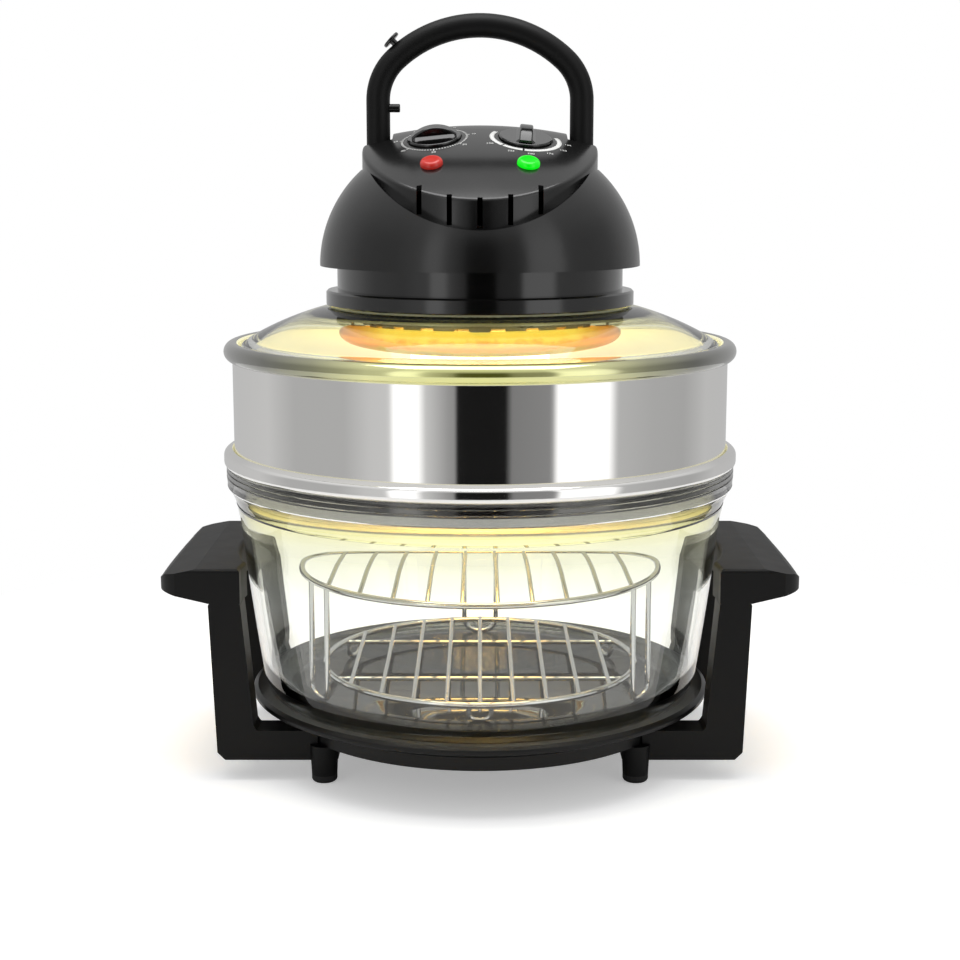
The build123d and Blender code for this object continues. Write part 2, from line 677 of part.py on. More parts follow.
flange_inner = neck_radius - 20.3
boss_radius = 5.0
cover_screw_circle = flange_inner + boss_radius + 1.0
clamp_screw_circle = lid_hole_radius - 8.0
clamp_inner = shroud_radius - 3.0
clamp_boss_radius = 4.5
motor_post_x = 31.0
motor_post_radius = 4.5
shield_radius = cover_screw_circle - boss_radius - 7.0
insulation_thickness = 6.0
shield_thickness = 1.0
insulation_top_z = housing_floor_z + shield_thickness + insulation_thickness
centre_hole = 12.0
bush_radius = 5.0
gland_z = skirt_z + 16.0
gland_radius = 6.5
striker_turn = radians(BAIL_FOLD)
striker_y = BAIL_Y + STRIKER_DISTANCE * sin(striker_turn)
striker_z = pivot_z + STRIKER_DISTANCE * cos(striker_turn)
bar_inner_x = BAIL_HALF_WIDTH - BAIL_BAR_RADIUS
striker_tip_x = bar_inner_x - STRIKER_LENGTH
lens_stem_radius = LENS_RADIUS - 1.2
dial_sides = (-1, 1)
gland_face_y = SKIRT_RADIUS + 0.3
striker_stub_radius = 1.6
slot_floor_z = striker_z - STRIKER_RADIUS - 1.6
plunger_radius = 1.2
plunger_x = -(pocket_x - COVER_WALL - plunger_radius - 0.4)
plunger_top_z = striker_z - STRIKER_RADIUS - 0.35
switch_top_z = plunger_top_z - 4.8


def wall_y(x):
    """Where the vent wall stands at x."""
    return POD_CENTRE_Y - POD_HALF_DEPTH * sqrt(1 - (x / POD_HALF_WIDTH) ** 2)


def ledge_top_z(x):
    """Height of the ledge under the vents at x."""
    return ledge_axis_z - sqrt(LEDGE_RADIUS**2 - x**2)


with BuildPart() as upper_cover:
    add(cover_solid(0))
    add(cover_solid(COVER_WALL), mode=Mode.SUBTRACT)
    # Opening in the floor flange, and the screw holes in it
    with BuildSketch(Plane.XY.offset(skirt_z)):
        Circle(flange_inner)
        with PolarLocations(cover_screw_circle, 4, start_angle=45):
            Circle(SCREW_RADIUS)
    extrude(amount=COVER_WALL, mode=Mode.SUBTRACT)
    # Recess and bush hole of each dial, and a hole for each lens
    for side in dial_sides:
        dial = face_plane(side * DIAL_X, DIAL_Y)
        with BuildSketch(dial.offset(-DIAL_RECESS_DEPTH)):
            Circle(dial_recess_radius)
        extrude(amount=4 * DIAL_RECESS_DEPTH, mode=Mode.SUBTRACT)
        with BuildSketch(dial.offset(-2 * COVER_WALL)):
            Circle(bush_radius)
        extrude(amount=3 * COVER_WALL, mode=Mode.SUBTRACT)
        with BuildSketch(face_plane(side * LAMP_X, LAMP_Y).offset(-3 * COVER_WALL)):
            Circle(lens_stem_radius + FIT)
        extrude(amount=4 * COVER_WALL, mode=Mode.SUBTRACT)
    # Vents: one slot each, from the ledge up over the edge of the control face
    for number in range(VENT_COUNT):
        x = (number - (VENT_COUNT - 1) / 2) * VENT_PITCH
        low = ledge_top_z(x) + 0.8
        high = face_profile_z(wall_y(x)) + 1.2
        with BuildSketch(Plane.XY.offset(low)):
            with Locations((x, wall_y(x))):
                Rectangle(VENT_WIDTH, 3.6 * COVER_WALL)
        extrude(amount=high - low, mode=Mode.SUBTRACT)
    # Slot that the handle's striker swings into, with a hole for the switch plunger in its floor
    with BuildSketch(Plane.XY.offset(slot_floor_z)):
        with Locations((-striker_tip_x + 0.9, striker_y - 12)):
            Rectangle(STRIKER_LENGTH + 2, 26, align=(Align.MAX, Align.MIN))
    extrude(amount=reach, mode=Mode.SUBTRACT)
    with BuildSketch(Plane.XY.offset(switch_top_z)):
        with Locations((plunger_x, striker_y)):
            Circle(plunger_radius + 0.4)
    extrude(amount=slot_floor_z - switch_top_z, mode=Mode.SUBTRACT)
    # Holes for the pivot pins
    with BuildSketch(Plane.YZ.offset(-reach / 2)):
        with Locations((BAIL_Y, pivot_z)):
            Circle(PIN_RADIUS)
    extrude(amount=reach, mode=Mode.SUBTRACT)
    # Boss and hole for the cord gland at the back
    with BuildSketch(Plane.XZ.offset(-gland_face_y + 7)):
        with Locations((0, gland_z)):
            Circle(gland_radius + 4)
    extrude(amount=-7)
    with BuildSketch(Plane.XZ.offset(-gland_face_y + 12)):
        with Locations((0, gland_z)):
            Circle(gland_radius)
    extrude(amount=-14, mode=Mode.SUBTRACT)
export(upper_cover, "upper_cover")

with BuildPart() as lower_housing:
    with BuildSketch(Plane.XZ):
        with BuildLine():
            Polyline(
                (centre_hole, collar_z),
                (collar_radius - 0.8, collar_z),
                (collar_radius, collar_z + 0.8),
                (collar_radius, neck_z - 1.2),
                (collar_radius - 1.2, neck_z),
                (neck_radius, neck_z),
                (neck_radius, skirt_z),
                (neck_radius - HOUSING_WALL, skirt_z),
                (neck_radius - HOUSING_WALL, housing_floor_z),
                (centre_hole, housing_floor_z),
                close=True,
            )
        make_face()
    revolve(axis=Axis.Z)
    with BuildSketch(Plane.XY.offset(housing_floor_z)):
        with PolarLocations(cover_screw_circle, 4, start_angle=45):
            Circle(boss_radius)
    extrude(amount=skirt_z - housing_floor_z)
    with BuildSketch(Plane.XY.offset(housing_floor_z)):
        with PolarLocations(clamp_screw_circle, 4, start_angle=22.5):
            Circle(clamp_boss_radius)
    extrude(amount=5)
    with BuildSketch(Plane.XY.offset(housing_floor_z)):
        with Locations((-motor_post_x, 0), (motor_post_x, 0)):
            Circle(motor_post_radius)
    extrude(amount=insulation_top_z - housing_floor_z + 3.3)
    # Screw holes: cover screws from below, clamp screws, motor screws from above
    with Locations(*[Location((*polar(cover_screw_circle, 45 + 90 * k), collar_z), (180, 0, 0)) for k in range(4)]):
        CounterBoreHole(SCREW_RADIUS, SCREW_HEAD_RADIUS, SCREW_HEAD_HEIGHT)
    with BuildSketch(Plane.XY.offset(collar_z)):
        with PolarLocations(clamp_screw_circle, 4, start_angle=22.5):
            Circle(SCREW_RADIUS)
        with Locations((-motor_post_x, 0), (motor_post_x, 0)):
            Circle(SCREW_RADIUS)
    extrude(amount=neck_z + NECK_HEIGHT - collar_z, mode=Mode.SUBTRACT)
export(lower_housing, "lower_housing")

with BuildPart() as cover_screws:
    with BuildSketch(Plane.XY.offset(collar_z + 0.5)):
        with PolarLocations(cover_screw_circle, 4, start_angle=45):
            Circle(SCREW_HEAD_RADIUS)
    extrude(amount=SCREW_HEAD_HEIGHT - 0.5)
    with BuildSketch(Plane.XY.offset(collar_z + SCREW_HEAD_HEIGHT)):
        with PolarLocations(cover_screw_circle, 4, start_angle=45):
            Circle(SCREW_RADIUS)
    extrude(amount=skirt_z + COVER_WALL + 1 - collar_z - SCREW_HEAD_HEIGHT)
export(cover_screws, "cover_screws")

# ---- clamp, shroud, heater ---------------------------------------------------------------------

with BuildPart() as clamp_ring:
    with BuildSketch(Plane.XY.offset(clamp_z)):
        Circle(lid_hole_radius + 11)
        Circle(clamp_inner, mode=Mode.SUBTRACT)
        with PolarLocations(clamp_screw_circle, 4, start_angle=22.5):
            Circle(SCREW_RADIUS, mode=Mode.SUBTRACT)
    extrude(amount=clamp_thickness)
export(clamp_ring, "clamp_ring")

with BuildPart() as clamp_screws:
    with BuildSketch(Plane.XY.offset(clamp_z - 2.4)):
        with PolarLocations(clamp_screw_circle, 4, start_angle=22.5):
            Circle(3.6)
    extrude(amount=2.4)
    with BuildSketch(Plane.XY.offset(clamp_z)):
        with PolarLocations(clamp_screw_circle, 4, start_angle=22.5):
            Circle(SCREW_RADIUS)
    extrude(amount=housing_floor_z + 4 - clamp_z)
export(clamp_screws, "clamp_screws")

shroud_depth = 8.8
with BuildPart() as fan_shroud:
    with BuildSketch(Plane.XY.offset(clamp_z - shroud_depth)):
        Circle(shroud_radius)
        Circle(centre_hole, mode=Mode.SUBTRACT)
    extrude(amount=shroud_depth)
    with BuildSketch(Plane.XY.offset(clamp_z - shroud_depth)):
        Circle(shroud_radius - SHEET)
    extrude(amount=shroud_depth - SHEET, mode=Mode.SUBTRACT)
    # Slots round the side
    with BuildSketch(Plane.XY.offset(clamp_z - shroud_depth + 2)):
        with PolarLocations(shroud_radius, 20, start_angle=9):
            Rectangle(4 * SHEET, 9.0)
    extrude(amount=shroud_depth - SHEET - 4, mode=Mode.SUBTRACT)
export(fan_shroud, "fan_shroud")

bracket_drop = 6.0
pan_top_z = clamp_z - bracket_drop
pan_low_z = pan_top_z - PAN_HEIGHT
pan_sheet = 1.0
pan_lip = pan_radius - 14.0
with BuildPart() as heater_pan:
    with BuildSketch(Plane.XZ):
        with BuildLine():
            Line((pan_lip - 4, pan_top_z - pan_sheet / 2), (pan_radius - 9, pan_top_z - pan_sheet / 2))
            ThreePointArc(
                (pan_radius - 9, pan_top_z - pan_sheet / 2),
                (pan_radius - pan_sheet / 2, pan_top_z - 0.4 * PAN_HEIGHT),
                (pan_lip, pan_low_z + pan_sheet / 2),
            )
            Line((pan_lip, pan_low_z + pan_sheet / 2), (pan_lip - 8, pan_low_z + pan_sheet / 2))
            offset(amount=pan_sheet / 2, side=Side.BOTH)
        make_face()
    revolve(axis=Axis.Z)
export(heater_pan, "heater_pan")

bracket_x = lid_hole_radius - 2.0
with BuildPart() as pan_brackets:
    with BuildSketch(Plane.XZ.offset(-6)):
        with BuildLine():
            Polyline(
                (bracket_x, clamp_z),
                (bracket_x + 9, clamp_z),
                (bracket_x + 9, clamp_z - SHEET),
                (bracket_x + SHEET, clamp_z - SHEET),
                (bracket_x + SHEET, pan_top_z),
                (pan_lip - 3, pan_top_z),
                (pan_lip - 3, pan_top_z + SHEET),
                (bracket_x, pan_top_z + SHEET),
                close=True,
            )
        make_face()
    one_bracket = extrude(amount=12, mode=Mode.PRIVATE)
    with PolarLocations(0, 4):
        add(one_bracket)
export(pan_brackets, "pan_brackets")

guard_wire = 1.25
guard_rings = (pan_lip - 5.5, pan_lip - 24, pan_lip - 42, pan_lip - 60)
with BuildPart() as heater_guard:
    with BuildSketch(Plane.XZ):
        for ring in guard_rings:
            with Locations((ring, pan_low_z - guard_wire)):
                Circle(guard_wire)
    revolve(axis=Axis.Z)
    for turn in (10, 70, 130, 190, 250, 310):
        spoke = Plane(origin=(*polar(guard_rings[-1], turn), pan_low_z - guard_wire - 0.7), z_dir=(*polar(1, turn), 0))
        with BuildSketch(spoke):
            Circle(guard_wire - 0.1)
        extrude(amount=guard_rings[0] - guard_rings[-1])
export(heater_guard, "heater_guard")

lamp_z = pan_top_z - 14.0
lamp_gap = 14.0  # half of the gap between the tube's ends, in degrees
tube_path = Edge.make_circle(
    lamp_ring_radius, Plane.XY.offset(lamp_z), start_angle=90 + lamp_gap, end_angle=450 - lamp_gap
)
tube_end = Plane(origin=tube_path @ 0, z_dir=tube_path % 0)
with BuildPart() as halogen_tube:
    with BuildSketch(tube_end):
        Circle(LAMP_TUBE_RADIUS)
        Circle(LAMP_TUBE_RADIUS - 1, mode=Mode.SUBTRACT)
    sweep(path=tube_path)
export(halogen_tube, "halogen_tube")

with BuildPart() as lamp_filament:
    with BuildSketch(tube_end):
        Circle(0.9)
    sweep(path=tube_path)
export(lamp_filament, "lamp_filament")

holder_inner = lamp_ring_radius - 7.0
holder_outer = pan_lip + 4.0
holder_low_z = pan_low_z + pan_sheet
with BuildPart() as lamp_holders:
    for side in (-1, 1):
        turn = 90 + side * lamp_gap
        seat = Plane(origin=(0, 0, holder_low_z), x_dir=(*polar(1, turn), 0), z_dir=(0, 0, 1))
        with BuildSketch(seat):
            with Locations((holder_inner, 0)):
                Rectangle(holder_outer - holder_inner, 10, align=(Align.MIN, Align.MAX if side > 0 else Align.MIN))
        extrude(amount=lamp_z + 6.5 - holder_low_z)
export(lamp_holders, "lamp_holders")

sensor_radius = 2.7
with BuildPart() as temperature_sensor:
    with BuildSketch(Plane((*polar(shroud_radius + 6, 135), clamp_z - sensor_radius),
                           z_dir=(*polar(1, 45), 0)).offset(-20)):
        Circle(sensor_radius)
    extrude(amount=40)
export(temperature_sensor, "temperature_sensor")

with BuildPart() as heat_shield:
    with BuildSketch(Plane.XY.offset(housing_floor_z)):
        Circle(shield_radius)
        Circle(centre_hole + 2, mode=Mode.SUBTRACT)
        with Locations((-motor_post_x, 0), (motor_post_x, 0)):
            Circle(motor_post_radius + 0.2, mode=Mode.SUBTRACT)
    extrude(amount=shield_thickness)
export(heat_shield, "heat_shield")

with BuildPart() as insulation_disc:
    with BuildSketch(Plane.XY.offset(housing_floor_z + shield_thickness)):
        Circle(shield_radius - 2)
        Circle(centre_hole + 2, mode=Mode.SUBTRACT)
        with Locations((-motor_post_x, 0), (motor_post_x, 0)):
            Circle(motor_post_radius + 0.2, mode=Mode.SUBTRACT)
    extrude(amount=insulation_thickness)
export(insulation_disc, "insulation_disc")

# ---- motor and fans ----------------------------------------------------------------------------

bridge_z = insulation_top_z + 3.3
bridge_thickness = 1.5
core_z = bridge_z + bridge_thickness
core_height = 20.0
core_top_z = core_z + core_height
rotor_radius = 13.0
bearing_radius = 6.5
bearing_length = 5.4
core_half_width = motor_post_x + 6.0
core_half_depth = 20.0
limb_y = core_half_depth + 14.0
limb_depth = 9.0

with BuildPart() as motor_bridges:
    with BuildSketch(Plane.XY.offset(bridge_z), Plane.XY.offset(core_top_z)):
        RectangleRounded(2 * core_half_width, 22, 5)
        Circle(bearing_radius, mode=Mode.SUBTRACT)
        with Locations((-motor_post_x, 0), (motor_post_x, 0)):
            Circle(SCREW_RADIUS, mode=Mode.SUBTRACT)
    extrude(amount=bridge_thickness)
export(motor_bridges, "motor_bridges")

with BuildPart() as shaft_bushes:
    with BuildSketch(Plane.XY.offset(core_z - bearing_length + 0.6), Plane.XY.offset(core_top_z - 0.6)):
        Circle(bearing_radius)
        Circle(SHAFT_RADIUS + FIT, mode=Mode.SUBTRACT)
    extrude(amount=bearing_length)
export(shaft_bushes, "shaft_bushes")

with BuildPart() as motor_core:
    with BuildSketch(Plane.XY.offset(core_z)):
        Rectangle(2 * core_half_width, 2 * core_half_depth)
        with Locations((0, core_half_depth)):
            Rectangle(2 * core_half_width - 14, limb_y + limb_depth - core_half_depth, align=(Align.CENTER, Align.MIN))
        with Locations((0, core_half_depth)):
            Rectangle(2 * core_half_width - 32, limb_y - core_half_depth, align=(Align.CENTER, Align.MIN),
                      mode=Mode.SUBTRACT)
        Circle(rotor_radius + 0.5, mode=Mode.SUBTRACT)
        with Locations((-motor_post_x, 0), (motor_post_x, 0)):
            Circle(SCREW_RADIUS, mode=Mode.SUBTRACT)
    extrude(amount=core_height)
export(motor_core, "motor_core")

with BuildPart() as motor_coil:
    with BuildSketch(Plane.XZ.offset(-limb_y + 5)):
        with Locations((0, core_z + core_height / 2)):
            RectangleRounded(2 * core_half_width - 36, core_height + 9, 6)
    extrude(amount=-limb_depth - 10)
    with BuildSketch(Plane.YZ.offset(-core_half_width)):
        with Locations((limb_y, core_z)):
            Rectangle(limb_depth, core_height, align=(Align.MIN, Align.MIN))
    extrude(amount=2 * core_half_width, mode=Mode.SUBTRACT)
export(motor_coil, "motor_coil")

with BuildPart() as motor_screws:
    with BuildSketch(Plane.XY.offset(core_top_z + bridge_thickness)):
        with Locations((-motor_post_x, 0), (motor_post_x, 0)):
            Circle(3.6)
    extrude(amount=2.6)
    with BuildSketch(Plane.XY.offset(housing_floor_z)):
        with Locations((-motor_post_x, 0), (motor_post_x, 0)):
            Circle(SCREW_RADIUS)
    extrude(amount=core_top_z + bridge_thickness - housing_floor_z)
export(motor_screws, "motor_screws")

fan_z = lamp_z + LAMP_TUBE_RADIUS + 3.0  # underside of the convection fan
fan_height = 9.0
hub_radius = 8.0
cooling_fan_z = core_top_z + 8.5
cooling_fan_height = 8.0
shaft_low_z = fan_z - 3.5
shaft_top_z = cooling_fan_z + cooling_fan_height

with BuildPart() as motor_shaft:
    with BuildSketch(Plane.XY.offset(shaft_low_z)):
        Circle(SHAFT_RADIUS)
    extrude(amount=shaft_top_z - shaft_low_z)
    chamfer(motor_shaft.edges(), 0.5)
export(motor_shaft, "motor_shaft")

with BuildPart() as motor_rotor:
    with BuildSketch(Plane.XY.offset(core_z + 1)):
        Circle(rotor_radius)
        Circle(SHAFT_RADIUS, mode=Mode.SUBTRACT)
    extrude(amount=core_height - 2)
export(motor_rotor, "motor_rotor")

with BuildPart() as convection_fan:
    with BuildSketch(Plane.XY.offset(fan_z + fan_height - 1)):
        Circle(fan_radius)
    extrude(amount=1)
    with BuildSketch(Plane.XY.offset(fan_z)):
        Circle(hub_radius)
    extrude(amount=fan_height)
    with BuildSketch(Plane.XY.offset(fan_z + 0.5)):
        with PolarLocations((fan_radius + hub_radius) / 2 - 0.5, 10):
            Rectangle(fan_radius - hub_radius - 1, 1.2, rotation=8)
    extrude(amount=fan_height - 1.2)
    with BuildSketch(Plane.XY.offset(fan_z)):
        Circle(SHAFT_RADIUS)
    extrude(amount=fan_height, mode=Mode.SUBTRACT)
export(convection_fan, "convection_fan")

with BuildPart() as fan_nut:
    with BuildSketch(Plane.XY.offset(fan_z - 3.0)):
        RegularPolygon(5.2, 6)
        Circle(SHAFT_RADIUS, mode=Mode.SUBTRACT)
    extrude(amount=3.0)
export(fan_nut, "fan_nut")

with BuildPart() as cooling_fan:
    with BuildSketch(Plane.XY.offset(cooling_fan_z)):
        Circle(hub_radius)
    extrude(amount=cooling_fan_height)
    blade_middle = (cooling_fan_radius + hub_radius) / 2 - 0.5
    with PolarLocations(blade_middle, 6):
        with Locations((0, 0, cooling_fan_z + cooling_fan_height / 2)):
            Box(cooling_fan_radius - hub_radius + 1, 11, 1.2, rotation=(28, 0, 0))
    with BuildSketch(Plane.XY.offset(cooling_fan_z)):
        Circle(SHAFT_RADIUS)
    extrude(amount=cooling_fan_height, mode=Mode.SUBTRACT)
export(cooling_fan, "cooling_fan")

with BuildPart() as terminal_block:
    with BuildSketch(Plane.XY.offset(insulation_top_z)):
        with Locations((-motor_post_x - 23, limb_y - 4)):
            Rectangle(16, 26, rotation=40)
    extrude(amount=11)
    chamfer(terminal_block.edges().group_by(Axis.Z)[-1], 1)
export(terminal_block, "terminal_block")

# ---- controls ----------------------------------------------------------------------------------

mechanism_top = -COVER_WALL - 1.3
mechanism_radius = 20.0
spindle_low = mechanism_top - 20
knob_low = -DIAL_RECESS_DEPTH + 0.4
knob_disc_top = knob_low + KNOB_DISC_HEIGHT
spindle_top = knob_disc_top + 2.0
blade_crease = knob_disc_top + 1.8


def build_mechanism(plane, depth):
    """A dial's mechanism in its can, hung from the cover by its bush."""
    with BuildPart() as mechanism:
        with BuildSketch(plane.offset(mechanism_top)):
            Circle(mechanism_radius)
        extrude(amount=-depth)
        with BuildSketch(plane.offset(mechanism_top)):
            Circle(bush_radius)
        extrude(amount=-DIAL_RECESS_DEPTH - mechanism_top)
        with BuildSketch(plane.offset(spindle_low - 0.2)):
            Circle(SPINDLE_RADIUS + FIT)
        extrude(amount=-spindle_low + COVER_WALL, mode=Mode.SUBTRACT)
    return mechanism


def build_spindle(plane):
    """A dial's spindle, from inside its mechanism up into the knob."""
    with BuildPart() as spindle:
        with BuildSketch(plane.offset(spindle_low)):
            Circle(SPINDLE_RADIUS)
        extrude(amount=spindle_top - spindle_low)
    return spindle


def build_blade(plane):
    """A knob's round-topped grip blade, along the plane's X."""
    with BuildPart() as blade:
        with BuildSketch(Plane(origin=plane.origin, x_dir=plane.x_dir, z_dir=plane.y_dir * -1)):
            with BuildLine():
                Polyline(
                    (-BLADE_LENGTH / 2, blade_crease),
                    (-BLADE_LENGTH / 2, knob_disc_top - 1),
                    (BLADE_LENGTH / 2, knob_disc_top - 1),
                    (BLADE_LENGTH / 2, blade_crease),
                )
                ThreePointArc(
                    (BLADE_LENGTH / 2, blade_crease),
                    (0, knob_disc_top + BLADE_HEIGHT),
                    (-BLADE_LENGTH / 2, blade_crease),
                )
            make_face()
        extrude(amount=BLADE_WIDTH / 2, both=True)
        fillet(blade.edges().filter_by(lambda edge: edge.geom_type == GeomType.CIRCLE), 1.2)
    return blade


def build_knob(plane):
    """A knob: a disc in the dial's recess with a grip blade across it."""
    with BuildPart() as knob:
        with BuildSketch(plane.offset(knob_low)):
            Circle(KNOB_RADIUS)
        extrude(amount=KNOB_DISC_HEIGHT)
        fillet(knob.faces().sort_by(Axis(plane.origin, plane.z_dir))[-1].edges(), 1.0)
        add(build_blade(plane).part)
        # Flared foot of the blade
        with BuildSketch(plane.offset(knob_disc_top - 0.2)):
            RectangleRounded(BLADE_LENGTH, BLADE_FLARE, 3)
        with BuildSketch(plane.offset(blade_crease)):
            RectangleRounded(BLADE_LENGTH - 0.6, BLADE_WIDTH - 0.4, 3)
        loft()
        with BuildSketch(plane.offset(knob_low)):
            Circle(SPINDLE_RADIUS)
        extrude(amount=spindle_top - knob_low, mode=Mode.SUBTRACT)
    return knob


timer_plane = face_plane(-DIAL_X, DIAL_Y)
thermostat_plane = face_plane(DIAL_X, DIAL_Y, turn=90)
timer_body = build_mechanism(timer_plane, 27.0)
export(timer_body, "timer_body")
thermostat_body = build_mechanism(thermostat_plane, 23.0)
export(thermostat_body, "thermostat_body")
timer_spindle = build_spindle(timer_plane)
export(timer_spindle, "timer_spindle")
thermostat_spindle = build_spindle(thermostat_plane)
export(thermostat_spindle, "thermostat_spindle")
timer_knob = build_knob(timer_plane)
export(timer_knob, "timer_knob")
thermostat_knob = build_knob(thermostat_plane)
export(thermostat_knob, "thermostat_knob")

lens_bore = 4.5
lens_stem = 9.0
neon_radius = 4.2


def build_lens(plane):
    """A lamp's lens: a low dome on a flange, with a hollow stem through the cover."""
    with BuildPart() as lens:
        with BuildSketch(plane):
            Circle(LENS_RADIUS)
        extrude(amount=LENS_HEIGHT)
        fillet(lens.faces().sort_by(Axis(plane.origin, plane.z_dir))[-1].edges(), LENS_HEIGHT - 1)
        with BuildSketch(plane.offset(-lens_stem)):
            Circle(lens_stem_radius)
        extrude(amount=lens_stem)
        with BuildSketch(plane.offset(-lens_stem)):
            Circle(lens_bore)
        extrude(amount=lens_stem - 2, mode=Mode.SUBTRACT)
    return lens


red_lens = build_lens(face_plane(-LAMP_X, LAMP_Y))
export(red_lens, "red_lens")
green_lens = build_lens(face_plane(LAMP_X, LAMP_Y))
export(green_lens, "green_lens")

with BuildPart() as neon_lamps:
    for side in dial_sides:
        with BuildSketch(face_plane(side * LAMP_X, LAMP_Y).offset(-lens_stem - 13)):
            Circle(neon_radius)
        extrude(amount=lens_stem + 10.2)
        with BuildSketch(face_plane(side * LAMP_X, LAMP_Y).offset(-lens_stem - 13)):
            Circle(lens_stem_radius)
        extrude(amount=13)
export(neon_lamps, "neon_lamps")

# ---- safety switch, gland, handle --------------------------------------------------------------

switch_height = 15.0
switch_wall_x = -(pocket_x - COVER_WALL)

with BuildPart() as safety_switch:
    with BuildSketch(Plane.XY.offset(switch_top_z - switch_height)):
        with Locations((switch_wall_x, striker_y - 9.5)):
            Rectangle(6.6, 12, align=(Align.MIN, Align.MIN))
    extrude(amount=switch_height)
    with BuildSketch(Plane.XY.offset(switch_top_z - 6)):
        with Locations((plunger_x, striker_y)):
            Circle(plunger_radius + FIT)
    extrude(amount=6, mode=Mode.SUBTRACT)
export(safety_switch, "safety_switch")

with BuildPart() as switch_plunger:
    with BuildSketch(Plane.XY.offset(switch_top_z - 4)):
        with Locations((plunger_x, striker_y)):
            Circle(plunger_radius)
    extrude(amount=plunger_top_z - switch_top_z + 4)
export(switch_plunger, "switch_plunger")

with BuildPart() as cord_gland:
    with BuildSketch(Plane.XZ.offset(-(gland_face_y - 9))):
        with Locations((0, gland_z)):
            Circle(gland_radius)
    extrude(amount=-22)
    with BuildSketch(Plane.XZ.offset(-gland_face_y)):
        with Locations((0, gland_z)):
            Circle(gland_radius + 3)
    extrude(amount=-3)
    fillet(cord_gland.faces().sort_by(Axis.Y)[-1].edges(), 1.5)
    with BuildSketch(Plane.XZ.offset(-(gland_face_y - 9))):
        with Locations((0, gland_z)):
            Circle(3.6)
    extrude(amount=-22, mode=Mode.SUBTRACT)
export(cord_gland, "cord_gland")

pin_head = 2.4
with BuildPart() as pivot_pins:
    for side in (-1, 1):
        wall_x = side * (pocket_x - COVER_WALL)
        with BuildSketch(Plane.YZ.offset(wall_x)):
            with Locations((BAIL_Y, pivot_z)):
                Circle(PIN_RADIUS)
        extrude(amount=side * (BAIL_HALF_WIDTH + BAIL_BAR_RADIUS - 2 - pocket_x + COVER_WALL))
        with BuildSketch(Plane.YZ.offset(wall_x)):
            with Locations((BAIL_Y, pivot_z)):
                Circle(PIN_RADIUS + 2.5)
        extrude(amount=-side * pin_head)
export(pivot_pins, "pivot_pins")

corner_x = BAIL_HALF_WIDTH - ARCH_CORNER_RADIUS
corner_rise = ARCH_RISE - ARCH_CORNER_RADIUS
crown_drop = (corner_x**2 - corner_rise**2) / (2 * corner_rise)
crown_radius = crown_drop + ARCH_RISE
corner_turn = degrees(atan2(crown_drop, corner_x))
bail_plane = Plane.XZ.offset(-BAIL_Y)
pin_reach = BAIL_HALF_WIDTH + BAIL_BAR_RADIUS - 1.7

with BuildPart() as bail_handle:
    with BuildLine(bail_plane) as bail_line:
        Line((-BAIL_HALF_WIDTH, pivot_z), (-BAIL_HALF_WIDTH, arch_z))
        CenterArc((-corner_x, arch_z), ARCH_CORNER_RADIUS, 180, -corner_turn)
        CenterArc((0, arch_z - crown_drop), crown_radius, 180 - corner_turn, 2 * corner_turn - 180)
        CenterArc((corner_x, arch_z), ARCH_CORNER_RADIUS, corner_turn, -corner_turn)
        Line((BAIL_HALF_WIDTH, arch_z), (BAIL_HALF_WIDTH, pivot_z))
    with BuildSketch(Plane.XY.offset(pivot_z)):
        with Locations((-BAIL_HALF_WIDTH, BAIL_Y)):
            Circle(BAIL_BAR_RADIUS)
    sweep(path=bail_line.wires()[0])
    # Round end of each leg and the blind bore for its pivot pin
    for side in (-1, 1):
        with BuildSketch(Plane.YZ.offset(side * bar_inner_x)):
            with Locations((BAIL_Y, pivot_z)):
                Circle(BAIL_BAR_RADIUS)
        extrude(amount=side * 2 * BAIL_BAR_RADIUS)
        with BuildSketch(Plane.YZ.offset(side * bar_inner_x)):
            with Locations((BAIL_Y, pivot_z)):
                Circle(PIN_RADIUS + FIT)
        extrude(amount=side * (pin_reach - bar_inner_x), mode=Mode.SUBTRACT)
    # Hole for the striker peg
    with BuildSketch(Plane.YZ.offset(-bar_inner_x)):
        with Locations((BAIL_Y, pivot_z + STRIKER_DISTANCE)):
            Circle(striker_stub_radius)
    extrude(amount=-BAIL_BAR_RADIUS, mode=Mode.SUBTRACT)
export(bail_handle, "bail_handle")

stud_distance = crown_radius + BAIL_BAR_RADIUS + STUD_REACH
stud_x, stud_rise = polar(stud_distance, STUD_ANGLE)
stud_axis = polar(1, STUD_LEAN)
stud_plane = Plane(
    origin=(stud_x, BAIL_Y, arch_z - crown_drop + stud_rise), z_dir=(stud_axis[0], 0, stud_axis[1])
)

with BuildPart() as handle_stud:
    with BuildSketch(stud_plane.offset(-STUD_THICKNESS / 2)):
        Circle(STUD_RADIUS)
    extrude(amount=STUD_THICKNESS)
    fillet(handle_stud.edges(), 0.8)
    with BuildSketch(stud_plane):
        Circle(STUD_STEM_RADIUS)
    extrude(amount=-STUD_REACH - BAIL_BAR_RADIUS / 2)
    add(bail_handle.part, mode=Mode.SUBTRACT)
export(handle_stud, "handle_stud")

with BuildPart() as striker_peg:
    with BuildSketch(Plane.YZ.offset(-bar_inner_x - 0.4)):
        with Locations((BAIL_Y, pivot_z + STRIKER_DISTANCE)):
            Circle(STRIKER_RADIUS)
    extrude(amount=STRIKER_LENGTH + 0.4)
    fillet(striker_peg.faces().sort_by(Axis.X)[-1].edges(), 0.8)
    add(bail_handle.part, mode=Mode.SUBTRACT)
    with BuildSketch(Plane.YZ.offset(-bar_inner_x)):
        with Locations((BAIL_Y, pivot_z + STRIKER_DISTANCE)):
            Circle(striker_stub_radius)
    extrude(amount=-BAIL_BAR_RADIUS)
export(striker_peg, "striker_peg")

# ---- racks -------------------------------------------------------------------------------------


